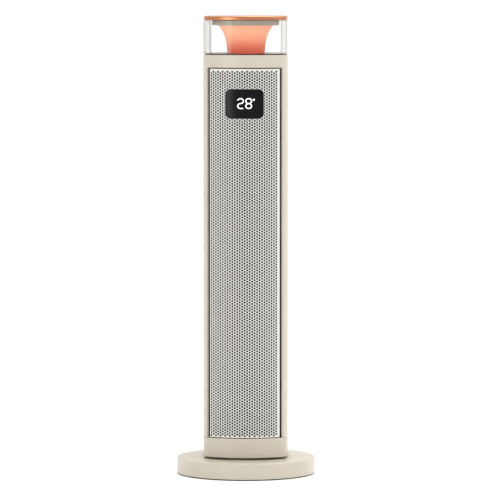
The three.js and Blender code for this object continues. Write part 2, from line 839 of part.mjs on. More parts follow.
function rearHousing() {
  const wall = keep(
    columnWall(0, shellWall, shellBottom, shellTop),
    rearRegion(2 * columnWidth, shellSplit + gap, 0, shellTop),
  );
  const border = 3;
  const ledge = keep(
    columnWall(shellWall - overlap, shellWall + ledgeDepth, intakeBottom - border, intakeTop + border),
    rearRegion(intakeWidth + 2 * border, 0, 0, shellTop),
  );
  const recess = keep(
    columnWall(-beyond, shellWall, intakeBottom, intakeTop),
    rearRegion(intakeWidth, 0, 0, shellTop),
  );
  const intake = centredBox(
    intakeWidth - 2 * intakeLedge, 0, columnDepth, intakeBottom + intakeLedge, intakeTop - intakeLedge,
  );
  const rockerHole = centredBox(
    bezelWidth + 2 * gap, 0, columnDepth, rockerZ - bezelHeight / 2 - gap, rockerZ + bezelHeight / 2 + gap,
  );
  const screwHoles = screwHeights.flatMap((z) =>
    [-1, 1].flatMap((side) => [
      rodAlongY(side * housingScrewX, z, screwRadius + gap, 0, columnDepth, screwSides),
      rodAlongY(side * housingScrewX, z, screwHeadRadius + gap, screwSeatY, columnDepth),
    ]),
  );
  const solid = cut(join(wall, ledge), recess, intake, rockerHole, ...screwHoles);
  return piece("rear_housing", solid, "shell");
}

function housingScrews() {
  return screwHeights.flatMap((z, row) =>
    [-1, 1].map((side, column) => {
      const headTop = screwSeatY + gap + screwHeadHeight;
      const placed = screw().rotate([90, 0, 0]).translate([side * housingScrewX, headTop, z]);
      return piece(`housing_screw_${2 * row + column + 1}`, placed, "steel");
    }),
  );
}

function filterCover() {
  const width = intakeWidth - 2 * coverGap;
  const sheet = keep(
    columnWall(coverInset, coverInset + coverSheet, intakeBottom + coverGap, intakeTop - coverGap),
    rearRegion(width, 0, 0, shellTop),
  );
  const pitch = (intakeHeight - 2 * intakeLedge) / louvreRows;
  const clearWidth = intakeWidth - 2 * intakeLedge - 2 * louvreMargin;
  const louvreWidth = (clearWidth - (louvreColumns - 1) * louvreBar) / louvreColumns;
  const louvres = [];
  for (let row = 0; row < louvreRows; row += 1) {
    for (let column = 0; column < louvreColumns; column += 1) {
      const x = (column - (louvreColumns - 1) / 2) * (louvreWidth + louvreBar);
      const z = intakeBottom + intakeLedge + (row + 0.5) * pitch;
      const opening = box(
        x - louvreWidth / 2, x + louvreWidth / 2, 0, columnDepth, z - louvreHeight / 2, z + louvreHeight / 2,
      );
      louvres.push(opening);
    }
  }
  return piece("filter_cover", cut(sheet, ...louvres), "shell");
}

function filterMesh() {
  const inset = coverInset + coverSheet + gap;
  const side = intakeLedge + coverGap;
  const sheet = keep(
    columnWall(inset, inset + filterSheet, intakeBottom + side, intakeTop - side),
    rearRegion(intakeWidth - 2 * side, 0, 0, shellTop),
  );
  return piece("filter_mesh", sheet, "dark");
}

// ---------------------------------------------------------------- grille and display

const grilleHalf = openingWidth / 2 - openingTaper - grilleSideGap;
const grilleBottom = collarTop + gap;
const grilleTop = openingTop - grilleTopGap;

// The window's outline, grown by a border, as a block along y.
function windowBlock(border, y0, y1) {
  const width = windowWidth + 2 * border;
  const height = windowHeight + 2 * border;
  return roundedBlock(width, height, windowCorner + border, windowZ, y0, y1);
}

function grille() {
  const sheet = keep(
    columnWall(grilleInset, grilleInset + grilleSheet, grilleBottom, grilleTop),
    frontRegion(2 * grilleHalf, 0, 0, grilleTop),
  );
  const edgeY = -outlineReach(grilleHalf, grilleInset);
  const returns = [-1, 1].map((side) => {
    const outer = side * grilleHalf;
    const inner = side * (grilleHalf - grilleSheet);
    const left = Math.min(inner, outer);
    const right = Math.max(inner, outer);
    return box(left, right, edgeY + overlap / 2, edgeY + grilleReturn, grilleBottom, grilleTop);
  });
  const columnPitch = (2 * grilleHalf - 2 * grilleMargin) / slotColumns;
  const rowPitch = (windowZ - windowHeight / 2 - grilleMargin - grilleBottom) / slotRows;
  const slotHeight = rowPitch - slotBridge;
  const slots = [];
  for (let column = 0; column < slotColumns; column += 1) {
    for (let row = 0; row < slotRows; row += 1) {
      const x = (column - (slotColumns - 1) / 2) * columnPitch;
      const z = grilleBottom + (row + 0.5) * rowPitch;
      const slot = box(
        x - slotWidth / 2, x + slotWidth / 2, -columnDepth, 0, z - slotHeight / 2, z + slotHeight / 2,
      );
      slots.push(slot);
    }
  }
  const windowHole = windowBlock(gap, -columnDepth, 0);
  return piece("front_grille", cut(join(sheet, ...returns), windowHole, ...slots), "grille");
}

function displayWindow() {
  const back = windowInset + windowThickness;
  const curved = columnWall(windowInset, back, windowZ - windowHeight, windowZ + windowHeight);
  return piece("display_window", keep(curved, windowBlock(0, -columnDepth, 0)), "blackGlass");
}

function displayTray() {
  const inset = grilleInset + grilleSheet + gap;
  const block = keep(
    columnPrism(inset, windowZ - trayHeight / 2, windowZ + trayHeight / 2),
    frontRegion(trayWidth, trayBack, 0, shellTop),
  );
  const pocketHalf = ledModuleHeight / 2 + ledModuleRoom;
  const pocket = centredBox(
    ledModuleWidth + 2 * ledModuleRoom, -columnDepth, 0, windowZ - pocketHalf, windowZ + pocketHalf,
  );
  return piece("display_tray", cut(block, pocket), "dark");
}

function displayBoard() {
  const front = -trayBack + gap;
  const half = trayHeight / 2 - boardBorder;
  const plate = centredBox(
    trayWidth - 2 * boardBorder, front, front + boardThickness, windowZ - half, windowZ + half,
  );
  const module = centredBox(
    ledModuleWidth, front - ledModuleDepth, front + overlap,
    windowZ - ledModuleHeight / 2, windowZ + ledModuleHeight / 2,
  );
  return piece("display_board", join(plate, module), "board");
}

// ---------------------------------------------------------------- crown, funnel and lid

function topDeck() {
  const hole = circlePoints(0, 0, deckHole, middleSides);
  const deck = prism(columnOutline(shellWall + gap), deckBottom, deckTop, hole);
  return piece("top_deck", deck, "dark");
}

function ledBoard() {
  const top = deckBottom - gap;
  const disc = rod(0, 0, ledBoardRadius, top - boardThickness, top, middleSides);
  const lamps = Array.from({ length: ledCount }, (_, i) => {
    const [x, y] = around((i * 360) / ledCount, ledCircle);
    return rod(x, y, ledRadius, top - overlap, top + ledHeight, screwSides);
  });
  return piece("led_board", join(disc, ...lamps), "board");
}

function crown() {
  const wall = columnWall(crownInset, crownInset + crownWall, crownBottom, crownTop);
  return piece("crown", wall, "clear");
}

function funnel() {
  const bottom = crownBottom;
  const height = crownTop - seatThickness - gap - bottom;
  const outer = funnelRadii.map(([share, radius]) => [radius, bottom + share * height]);
  const inner = outer.map(([radius, z]) => [radius - funnelWall, z]).reverse();
  return piece("funnel", turned([...outer, ...inner], wideSides), "funnel");
}

function lidSeat() {
  const plate = columnPrism(seatInset, crownTop - seatThickness, crownTop);
  const pocket = rod(0, 0, touchBoardRadius + gap, crownTop - touchBoardSeat, crownTop + beyond, middleSides);
  return piece("lid_seat", cut(plate, pocket), "grey");
}

function touchBoard() {
  const bottom = crownTop - touchBoardSeat + gap;
  const disc = rod(0, 0, touchBoardRadius, bottom, bottom + boardThickness, middleSides);
  return piece("touch_board", disc, "board");
}

function lid() {
  const geometry = new THREE.ExtrudeGeometry(shapeOf(columnOutline(lidInset + lidRound)), {
    depth: lidThickness - 2 * lidRound,
    bevelThickness: lidRound,
    bevelSize: lidRound,
    bevelSegments: 2,
  });
  const plate = solidOf(geometry.translate(0, 0, lidBottom + lidRound));
  const top = lidBottom + lidThickness;
  const pocketFloor = top - touchPanelThickness - gap;
  const pocket = rod(0, 0, touchPanelRadius + gap, pocketFloor, top + beyond, middleSides);
  return piece("lid", cut(plate, pocket), "copper");
}

function touchPanel() {
  const top = lidBottom + lidThickness;
  const round = 0.3;
  const disc = turned(
    [
      [0, top - touchPanelThickness],
      [touchPanelRadius, top - touchPanelThickness],
      [touchPanelRadius, top - round],
      [touchPanelRadius - round, top],
      [0, top],
    ],
    middleSides,
  );
  return piece("touch_panel", disc, "blackGlass");
}

// ---------------------------------------------------------------- fan

// The plan of a bulkhead, which stays clear of the grille's folded sides and the frame's lips.
function bulkhead(name, bottom, shaftHole, postMiddle) {
  const top = bottom + bulkheadThickness;
  const plate = keep(
    columnPrism(bulkheadInset, bottom, top),
    centredBox(2 * columnWidth, -heaterFront - bulkheadLead, columnDepth, bottom, top),
  );
  const notchX = grilleHalf - grilleSheet - bulkheadNotch;
  const notchBack = -outlineReach(grilleHalf, grilleInset) + grilleReturn + bulkheadNotch;
  const notches = [-1, 1].map((side) => {
    const left = Math.min(side * notchX, side * columnWidth);
    const right = Math.max(side * notchX, side * columnWidth);
    return box(left, right, -columnDepth, notchBack, bottom - beyond, top + beyond);
  });
  const postBack = outlineReach(housingScrewX + postWidth / 2, shellWall + gap);
  const posts = [-1, 1].map((side) => {
    const x = side * housingScrewX;
    const low = postMiddle - postHeight / 2;
    const high = postMiddle + postHeight / 2;
    return box(x - postWidth / 2, x + postWidth / 2, postBack - postDepth, postBack, low, high);
  });
  const pilotFront = postBack - postDepth - beyond;
  const pilots = [-1, 1].map((side) =>
    rodAlongY(side * housingScrewX, postMiddle, screwRadius + gap, pilotFront, columnDepth, screwSides),
  );
  const shaft = rod(0, fanY, shaftHole, bottom - beyond, top + beyond);
  return piece(name, cut(join(cut(plate, ...notches), ...posts), shaft, ...pilots), "grey");
}

const impellerBottom = lowerBulkheadTop + impellerEndGap;
const impellerTop = upperBulkheadBottom - impellerEndGap;

function impeller() {
  const inner = impellerRadius - bladeDepth;
  const ringInner = inner - 1;
  const hubBore = shaftRadius + gap;
  const endDisc = (z) => rod(0, 0, impellerRadius, z, z + impellerDisc, middleSides);
  const ring = (z) =>
    turned([
      [ringInner, z],
      [impellerRadius, z],
      [impellerRadius, z + impellerRing],
      [ringInner, z + impellerRing],
    ]);
  const blade = (i) => {
    const turn = (i * 2 * Math.PI) / bladeCount;
    const lean = 0.16; // how far a blade's tip leads its root, in radians
    const curl = 1.7;
    const tipInset = 0.4;
    const line = [0, 0.5, 1].map((share) => {
      const radius = inner + share * (bladeDepth - tipInset);
      const angle = turn + lean * share ** curl;
      return [radius * Math.cos(angle), radius * Math.sin(angle)];
    });
    return ribbon(line, bladeThickness, impellerBottom + overlap, impellerTop - overlap);
  };
  const blades = Array.from({ length: bladeCount }, (_, i) => blade(i));
  const hubs = [
    rod(0, 0, impellerHubRadius, impellerBottom, impellerBottom + impellerHubHeight),
    rod(0, 0, impellerHubRadius, impellerTop - impellerHubHeight, impellerTop),
  ];
  const wheel = join(
    endDisc(impellerBottom),
    endDisc(impellerTop - impellerDisc),
    ring((impellerBottom + impellerTop - impellerRing) / 2),
    ...hubs,
    ...blades,
  );
  const bores = [
    rod(0, 0, hubBore, impellerBottom - beyond, impellerBottom + impellerHubHeight + beyond, screwSides),
    rod(0, 0, hubBore, impellerTop - impellerHubHeight - beyond, impellerTop + beyond, screwSides),
  ];
  return piece("impeller", cut(wheel, ...bores).translate([0, fanY, 0]), "dark");
}

const motorShaftDepth = 18; // how far the shaft goes down into the motor

function motorShaft() {
  const bottom = ductBottom - gap - motorShaftDepth;
  const shaft = rod(0, fanY, shaftRadius, bottom, impellerBottom + impellerHubHeight, screwSides);
  return piece("motor_shaft", shaft, "steel");
}

function impellerPin() {
  const bottom = impellerTop - impellerHubHeight;
  const pin = rod(0, fanY, shaftRadius, bottom, ductTop + bushLength / 2, screwSides);
  return piece("impeller_pin", pin, "steel");
}

function fanMotor() {
  const top = ductBottom - gap;
  const bottom = top - fanMotorHeight;
  const collar = 9;
  const canTop = top - 3;
  const edge = 2;
  const bore = shaftRadius + runningGap;
  const boreEnd = top - motorShaftDepth - 1;
  const can = turned(
    [
      [bore, top],
      [collar, top],
      [collar, canTop],
      [fanMotorRadius - edge, canTop],
      [fanMotorRadius, canTop - edge],
      [fanMotorRadius, bottom + edge],
      [fanMotorRadius - edge, bottom],
      [0, bottom],
      [0, boreEnd],
      [bore, boreEnd],
    ],
    middleSides,
  );
  return piece("fan_motor", can.translate([0, fanY, 0]), "steel");
}

function upperBush() {
  const bottom = upperBulkheadBottom - bushDrop;
  const bore = shaftRadius + runningGap;
  const flange = bushRadius + 2.5;
  const flangeTop = ductTop + 2;
  const bush = turned(
    [
      [bore, bottom],
      [bushRadius, bottom],
      [bushRadius, ductTop + gap],
      [flange, ductTop + gap],
      [flange, flangeTop],
      [bushRadius, bottom + bushLength],
      [bore, bottom + bushLength],
    ],
    smallSides,
  );
  return piece("upper_bush", bush.translate([0, fanY, 0]), "rubber");
}

// The curved wall behind the impeller, which opens out towards the heating element.
function scrollGuide() {
  const start = 75;
  const end = -35;
  const steps = 12;
  const tight = impellerRadius + scrollClearance;
  const opening = 13;
  const growth = 1.4;
  const line = Array.from({ length: steps + 1 }, (_, i) => {
    const share = i / steps;
    const [x, y] = around(start + share * (end - start), tight + opening * share ** growth);
    return [x, y + fanY];
  });
  line.push([heaterWidth / 2 - scrollLanding, -heaterFront + heaterDepth + scrollLanding]);
  const sheet = ribbon(line, scrollSheet, lowerBulkheadTop + gap, upperBulkheadBottom - gap);
  return piece("scroll_guide", sheet, "grey");
}

// The short lip that parts the intake from the outlet.
function scrollTongue() {
  const tight = impellerRadius + scrollClearance;
  const curve = [
    [150, tight + 3.5],
    [165, tight + 1],
    [180, tight],
    [195, tight + 0.6],
    [208, tight + 3.5],
  ].map(([angle, radius]) => {
    const [x, y] = around(angle, radius);
    return [x, y + fanY];
  });
  curve.push([-heaterWidth / 2 + scrollLanding, -heaterFront + heaterDepth + scrollLanding]);
  const sheet = ribbon(curve, scrollSheet, lowerBulkheadTop + gap, upperBulkheadBottom - gap);
  return piece("scroll_tongue", sheet, "grey");
}

// ---------------------------------------------------------------- heating element

const heaterBottom = lowerBulkheadTop + gap;
const heaterTop = upperBulkheadBottom - gap;
const heaterOpening = heaterWidth - 2 * heaterRail;
const finBottom = heaterBottom + heaterEndRail + gap;
const finTop = heaterTop - heaterEndRail - gap;
const finWidth = (heaterOpening - (finBanks - 1) * barWidth - 2 * finBanks * gap) / finBanks;
const finFront = -heaterFront + (heaterDepth - finDepth) / 2;

function heaterFrame() {
  const frame = centredBox(heaterWidth, -heaterFront, -heaterFront + heaterDepth, heaterBottom, heaterTop);
  const window = centredBox(
    heaterOpening, -columnDepth, 0, heaterBottom + heaterEndRail, heaterTop - heaterEndRail,
  );
  return piece("heater_frame", cut(frame, window), "white");
}

// Each bank is one strip of sheet, folded to and fro between the ceramic bars.
function finBank(index) {
  const left = -heaterOpening / 2 + gap + index * (finWidth + barWidth + 2 * gap);
  const folds = 2 * Math.round((finTop - finBottom) / finPitch);
  const step = (finTop - finBottom) / folds;
  const half = (finSheet / 2) * (Math.hypot(finWidth, step) / step); // half the sheet, measured along x
  const line = Array.from({ length: folds + 1 }, (_, i) => [
    i % 2 ? left + finWidth - half : left + half,
    finBottom + i * step,
  ]);
  const nearSide = line.map(([x, z]) => [x - half, z]);
  const farSide = line.map(([x, z]) => [x + half, z]);
  const section = [...nearSide, ...farSide.reverse()];
  const geometry = new THREE.ExtrudeGeometry(shapeOf(section), { depth: finDepth, bevelEnabled: false });
  const strip = solidOf(geometry.rotateX(Math.PI / 2).translate(0, finFront + finDepth, 0));
  return piece(`fin_bank_${index + 1}`, strip, "aluminium");
}

function ceramicBar(index) {
  const left = -heaterOpening / 2 + (index + 1) * (finWidth + 2 * gap) + index * barWidth;
  const chamfer = 0.8;
  const back = finFront + finDepth;
  const section = [
    [left, finFront + chamfer],
    [left + chamfer, finFront],
    [left + barWidth - chamfer, finFront],
    [left + barWidth, finFront + chamfer],
    [left + barWidth, back - chamfer],
    [left + barWidth - chamfer, back],
    [left + chamfer, back],
    [left, back - chamfer],
  ];
  return piece(`ceramic_bar_${index + 1}`, prism(section, finBottom, finTop), "white");
}

function thermalCutout() {
  const front = -heaterFront + heaterDepth + gap;
  const z = heaterTop - heaterEndRail / 2;
  const disc = rodAlongY(cutoutX, z, cutoutRadius, front, front + cutoutThickness);
  const buttonEnd = front + cutoutThickness + cutoutButton;
  const button = rodAlongY(cutoutX, z, cutoutRadius / 2, front + overlap, buttonEnd, screwSides);
  return piece("thermal_cutout", join(disc, button), "dark");
}

// ---------------------------------------------------------------- electronics and rear controls

function controlBoard() {
  const top = controlBottom + boardThickness;
  const board = columnPrism(controlInset, controlBottom, top);
  const onBoard = (x, y, width, depth, height) =>
    box(x - width / 2, x + width / 2, y - depth / 2, y + depth / 2, top - overlap, top + height);
  const relay = onBoard(-23, -19, 18, 14, 16);
  const transformer = onBoard(20, -19, 24, 22, 20);
  const terminals = onBoard(17, 22.5, 30, 9, 10);
  const capacitor = rod(-20, 8, 6, top - overlap, top + 18, screwSides);
  const heatSink = onBoard(-38.5, 7, 3, 30, 22);
  return piece("control_board", join(board, relay, transformer, terminals, capacitor, heatSink), "board");
}

const bezelOuter = outlineReach(0) + gap + bezelLipThickness;

function rockerBezel() {
  const lipBack = outlineReach(0) + gap;
  const top = rockerZ + bezelHeight / 2;
  const bottom = rockerZ - bezelHeight / 2;
  const body = centredBox(bezelWidth, lipBack - bezelDepth, lipBack + overlap, bottom, top);
  const lip = centredBox(bezelWidth + 2 * bezelLip, lipBack, bezelOuter, bottom - bezelLip, top + bezelLip);
  const cavityHalf = rockerReach + runningGap + bezelEndRoom;
  const cavityBack = lipBack - bezelDepth + bezelBackWall;
  const cavity = centredBox(
    rockerWidth + 2 * runningGap, cavityBack, columnDepth, rockerZ - cavityHalf, rockerZ + cavityHalf,
  );
  return piece("rocker_bezel", cut(join(body, lip), cavity), "dark");
}

const rockerPivotY = bezelOuter - rockerPivotDepth;

// The rocker turns about the x axis through its group's origin.
function rocker() {
  const section = [
    [5.2, 6.9],
    [3.2, 0],
    [5.2, -6.9],
    [1, -rockerReach + 0.1],
    [-4, -5],
    [-4, 5],
    [1, rockerReach - 0.1],
  ];
  const geometry = new THREE.ExtrudeGeometry(shapeOf(section), { depth: rockerWidth, bevelEnabled: false });
  const placed = geometry.rotateY(Math.PI / 2).rotateX(Math.PI / 2).translate(-rockerWidth / 2, 0, 0);
  const group = new THREE.Group();
  group.position.set(0, rockerPivotY, rockerZ);
  group.rotation.x = THREE.MathUtils.degToRad(-rockerRest);
  group.add(piece("power_rocker", solidOf(placed), "dark"));
  return group;
}

// ---------------------------------------------------------------- assembly

const heater = new THREE.Group();
heater.add(
  baseCover(),
  basePlate(),
  ballastRing(),
  ...rubberFeet(),
  ...baseScrews(),
  glideRing(),
  swingGearCup(),
  tipSwitch(),
  tipPlunger(),
  cordGland(),
  turntable(),
  spindleClip(),
  swingPinion(),
  swingMotor(),
  bottomCollar(),
  frontFrame(),
  rearHousing(),
  ...housingScrews(),
  filterCover(),
  filterMesh(),
  grille(),
  displayWindow(),
  displayTray(),
  displayBoard(),
  topDeck(),
  ledBoard(),
  crown(),
  funnel(),
  lidSeat(),
  touchBoard(),
  lid(),
  touchPanel(),
  bulkhead("lower_bulkhead", ductBottom, shaftRadius + 2, screwHeights[0]),
  bulkhead("upper_bulkhead", upperBulkheadBottom, bushRadius + gap, screwHeights[1]),
  impeller(),
  motorShaft(),
  impellerPin(),
  fanMotor(),
  upperBush(),
  scrollGuide(),
  scrollTongue(),
  heaterFrame(),
  ...Array.from({ length: finBanks }, (_, i) => finBank(i)),
  ...Array.from({ length: finBanks - 1 }, (_, i) => ceramicBar(i)),
  thermalCutout(),
  controlBoard(),
  rockerBezel(),
  rocker(),
);

export default heater;
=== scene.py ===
"""The visible model of a ceramic tower heater, built around its CAD frame.

Metres throughout. +Z is up, -Y is the front, and the origin is on the floor under the middle of the base.
"""

import math

import bmesh
import bpy
from mathutils import Matrix, Vector
from mathutils.geometry import delaunay_2d_cdt


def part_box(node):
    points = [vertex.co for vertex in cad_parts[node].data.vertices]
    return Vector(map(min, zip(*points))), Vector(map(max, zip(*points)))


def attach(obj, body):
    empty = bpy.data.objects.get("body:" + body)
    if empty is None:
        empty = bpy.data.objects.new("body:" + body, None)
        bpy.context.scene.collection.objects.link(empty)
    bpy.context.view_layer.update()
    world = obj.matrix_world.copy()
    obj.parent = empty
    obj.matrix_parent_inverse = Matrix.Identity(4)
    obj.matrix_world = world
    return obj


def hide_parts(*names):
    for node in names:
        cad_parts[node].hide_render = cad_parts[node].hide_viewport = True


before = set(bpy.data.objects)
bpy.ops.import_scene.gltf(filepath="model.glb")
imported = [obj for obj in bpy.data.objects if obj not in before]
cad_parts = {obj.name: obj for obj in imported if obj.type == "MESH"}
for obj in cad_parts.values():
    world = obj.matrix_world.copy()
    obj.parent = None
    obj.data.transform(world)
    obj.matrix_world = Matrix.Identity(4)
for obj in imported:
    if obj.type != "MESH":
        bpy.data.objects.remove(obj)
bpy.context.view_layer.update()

MM = 0.001
X, Y, Z = 0, 1, 2
FIT = 0.3 * MM  # gap between pieces that sit against each other
SLIVER = 0.01 * MM  # a distance that is too small to matter
BEYOND = 0.1  # outside the column on every side, for cutting tools
ABOVE = 1  # higher than the column


# ---------------------------------------------------------------- places, from the frame


def span(node, axis):
    """A CAD node's lowest and highest place along an axis."""
    low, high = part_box(node)
    return low[axis], high[axis]


def middle_of(node):
    """The middle of a CAD node's box."""
    low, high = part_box(node)
    return (low + high) / 2


base_bottom, base_top = span("base_cover", Z)
base_radius = span("base_cover", X)[1]
collar_bottom = span("bottom_collar", Z)[0]
half_width = span("bottom_collar", X)[1]
half_depth = span("bottom_collar", Y)[1]
shell_bottom, shell_top = span("front_frame", Z)
shell_split = span("front_frame", Y)[1]
collar_top = shell_bottom - FIT
housing_front = span("rear_housing", Y)[0]
grille_bottom, grille_top = span("front_grille", Z)
grille_half = span("front_grille", X)[1]
grille_back = span("front_grille", Y)[1]
window_half = span("display_window", X)[1]
window_bottom, window_top = span("display_window", Z)
window_middle = (window_bottom + window_top) / 2
cover_half = span("filter_cover", X)[1]
cover_bottom, cover_top = span("filter_cover", Z)
deck_bottom, deck_top = span("top_deck", Z)
crown_bottom, crown_top = span("crown", Z)
funnel_bottom, funnel_top = span("funnel", Z)
seat_bottom, seat_top = span("lid_seat", Z)
lid_bottom, lid_top = span("lid", Z)
panel_bottom = span("touch_panel", Z)[0]
panel_radius = span("touch_panel", X)[1]
shaft_y = sum(span("swing_pinion", Y)) / 2
gland_z = sum(span("cord_gland", Z)) / 2

# Sizes of the shells
FACE_RADIUS = 100 * MM
CORNER_RADIUS = 25 * MM
SHELL_WALL = 2.6 * MM
BASE_WALL = 3 * MM
OPENING_HALF = 54.8 * MM
OPENING_TAPER = 2.5 * MM  # how much the opening narrows at each side
OPENING_REVEAL = 6.5 * MM
OPENING_CHAMFER = 1.7 * MM  # depth over which the opening narrows
OPENING_TOP = 588 * MM
HEADER_SLOPE = 1.4 * MM  # fall of the opening's top edge over the depth of the reveal

# Fineness of round shapes
FACE_STEPS = 26
CORNER_STEPS = 12
ROUND_STEPS = 4
WIDE_SIDES = 160
SMALL_SIDES = 40

face_centre = FACE_RADIUS - half_depth
corner_x = half_width - CORNER_RADIUS
corner_y = math.sqrt((FACE_RADIUS - CORNER_RADIUS) ** 2 - corner_x ** 2) - face_centre
face_turn = math.atan2(corner_x, corner_y + face_centre)


# ---------------------------------------------------------------- shapes, as (points, faces)


def quarter_plan(inset):
    """The column's plan from the middle of the front to the right flank."""
    face = FACE_RADIUS - inset
    corner = CORNER_RADIUS - inset
    points = []
    for i in range(FACE_STEPS):
        turn = face_turn * i / FACE_STEPS
        points.append((face * math.sin(turn), face_centre - face * math.cos(turn)))
    for i in range(CORNER_STEPS + 1):
        turn = face_turn + (math.pi / 2 - face_turn) * i / CORNER_STEPS
        points.append((corner_x + corner * math.sin(turn), -corner_y - corner * math.cos(turn)))
    return points


def outline(inset=0.0):
    """The column's whole plan, anticlockwise from the middle of the front."""
    right = quarter_plan(inset)
    rear_right = [(x, -y) for x, y in reversed(right)]
    rear_left = [(-x, -y) for x, y in right[1:]]
    front_left = [(-x, y) for x, y in reversed(right[1:])]
    return right + rear_right + rear_left + front_left


def reach(x, inset=0.0):
    """How far the plan stands in front of the axis at x."""
    face = FACE_RADIUS - inset
    side = abs(x)
    if side <= face * math.sin(face_turn):
        return math.sqrt(face ** 2 - side ** 2) - face_centre
    return corner_y + math.sqrt((CORNER_RADIUS - inset) ** 2 - (side - corner_x) ** 2)


def circle(radius, sides=WIDE_SIDES):
    """The points of a circle in (x, y), from the right and anticlockwise."""
    turns = [2 * math.pi * i / sides for i in range(sides)]
    return [(radius * math.cos(turn), radius * math.sin(turn)) for turn in turns]


def spokes(radius):
    """A circle with one point in line with each point of the column's plan."""
    turns = [math.atan2(y, x) for x, y in outline()]
    return [(radius * math.cos(turn), radius * math.sin(turn)) for turn in turns]


def ring(plan, z):
    """A plan's points at a height."""
    return [Vector((x, y, z)) for x, y in plan]


def loft(rings, closed=True):
    """Rings joined in order. A closed loft joins the last ring to the first, an open one is capped."""
    count = len(rings[0])
    points = [point for one in rings for point in one]
    faces = []
    last = len(rings) if closed else len(rings) - 1
    for r in range(last):
        lower = r * count
        upper = (r + 1) % len(rings) * count
        for i in range(count):
            j = (i + 1) % count
            faces.append((lower + i, lower + j, upper + j, upper + i))
    if not closed:
        faces.append(tuple(reversed(range(count))))
        faces.append(tuple(range(len(points) - count, len(points))))
    return points, faces


def filleted(corners, steps=ROUND_STEPS):
    """A closed section with rounded corners. Each corner is (across, up, radius)."""
    section = []
    for i, (across, up, radius) in enumerate(corners):
        here = Vector((across, up))
        if radius == 0:
            section.append(here)
            continue
        before = (Vector(corners[i - 1][:2]) - here).normalized()
        after = (Vector(corners[(i + 1) % len(corners)][:2]) - here).normalized()
        half = before.angle(after) / 2
        centre = here + (before + after).normalized() * radius / math.sin(half)
        start = here + before * radius / math.tan(half) - centre
        end = here + after * radius / math.tan(half) - centre
        for k in range(steps + 1):
            section.append(centre + start.lerp(end, k / steps).normalized() * radius)
    return section


def column_rings(corners, steps=ROUND_STEPS):
    """Rings that follow the column's plan. Each corner of their section is (inset, z, radius)."""
    return [ring(outline(inset), z) for inset, z in filleted(corners, steps)]


def column_wall(outer, inner, bottom, top):
    """A wall that follows the column's plan, between two insets and two heights."""
    corners = [(outer, bottom), (outer, top), (inner, top), (inner, bottom)]
    return loft([ring(outline(inset), z) for inset, z in corners])


def turned(corners, sides=WIDE_SIDES):
    """A ring turned about the z axis. Each corner of its section is (radius, z, rounding)."""
    return loft([ring(circle(radius, sides), z) for radius, z in filleted(corners)])


def turned_disc(profile, sides=SMALL_SIDES):
    """A solid turned about the z axis, from a profile of (radius, z) that goes up."""
    return loft([ring(circle(radius, sides), z) for radius, z in profile], closed=False)


def block(x0, x1, y0, y1, z0, z1):
    """A box from one x, y and z to another."""
    corners = [(x0, y0), (x1, y0), (x1, y1), (x0, y1)]
    return loft([ring(corners, z0), ring(corners, z1)], closed=False)


def prism(plan, bottom, top):
    """A plan made solid between two heights."""
    return loft([ring(plan, bottom), ring(plan, top)], closed=False)


def placed(shape, matrix):
    """A shape turned and moved by a matrix."""
    points, faces = shape
    return [matrix @ point for point in points], faces


def shifted(shape, x=0.0, y=0.0, z=0.0):
    """A shape moved without turning."""
    return placed(shape, Matrix.Translation((x, y, z)))


def lying(shape):
    """A shape turned about the x axis, so that what pointed up points to the front."""
    return placed(shape, Matrix.Rotation(math.pi / 2, 4, "X"))


def rod_along_y(radius, y0, y1, x=0.0, z=0.0):
    """A round rod from front to back."""
    return shifted(lying(turned_disc([(radius, -y1), (radius, -y0)])), x=x, z=z)


def merged(*shapes):
    """Several shapes as one mesh."""
    points, faces = [], []
    for more_points, more_faces in shapes:
        start = len(points)
        points += more_points
        faces += [tuple(start + i for i in face) for face in more_faces]
    return points, faces


def mesh_of(name, shape):
    """A shape as a mesh whose faces all look outwards."""
    points, faces = shape
    mesh = bpy.data.meshes.new(name)
    mesh.from_pydata([tuple(point) for point in points], [], faces)
    work = bmesh.new()
    work.from_mesh(mesh)
    bmesh.ops.recalc_face_normals(work, faces=work.faces)
    work.to_mesh(mesh)
    work.free()
    return mesh


def combined(operation, shape, *tools):
    """One shape joined to others (UNION), cut by them (DIFFERENCE) or kept inside them (INTERSECT)."""
    made = []
    for solid in (shape, *tools):
        helper = bpy.data.objects.new("helper", mesh_of("helper", solid))
        bpy.context.scene.collection.objects.link(helper)
        made.append(helper)
    for tool in made[1:]:
        step = made[0].modifiers.new("step", "BOOLEAN")
        step.operation = operation
        step.solver = "MANIFOLD"
        step.object = tool
    graph = bpy.context.evaluated_depsgraph_get()
    mesh = bpy.data.meshes.new_from_object(made[0].evaluated_get(graph))
    points = [point.co.copy() for point in mesh.vertices]
    faces = [tuple(face.vertices) for face in mesh.polygons]
    bpy.data.meshes.remove(mesh)
    for helper in made:
        spent = helper.data
        bpy.data.objects.remove(helper)
        bpy.data.meshes.remove(spent)
    return points, faces


class Plan:
    """A flat layout of faces whose shared corners are one point."""

    def __init__(self):
        self.points = []
        self.faces = []
        self.places = {}

    def point(self, across, up):
        """The index of a point, new or already placed."""
        key = (round(across * 1e7), round(up * 1e7))
        if key not in self.places:
            self.places[key] = len(self.points)
            self.points.append((across, up))
        return self.places[key]

    def face(self, *corners):
        """One face. Corners that fall on the corner before them are left out."""
        indices = [self.point(*corner) for corner in corners]
        indices = [index for i, index in enumerate(indices) if index != indices[i - 1]]
        if len(indices) > 2:
            self.faces.append(tuple(indices))

    def sheet(self, outside, inside):
        """A sheet between two skins, walled at every open edge of the plan."""
        count = len(self.points)
        points = [outside(*point) for point in self.points] + [inside(*point) for point in self.points]
        faces = list(self.faces) + [tuple(i + count for i in reversed(face)) for face in self.faces]
        sides = {pair for face in self.faces for pair in zip(face, face[1:] + face[:1])}
        faces += [(b, a, a + count, b + count) for a, b in sides if (b, a) not in sides]
        return points, faces


shown = []


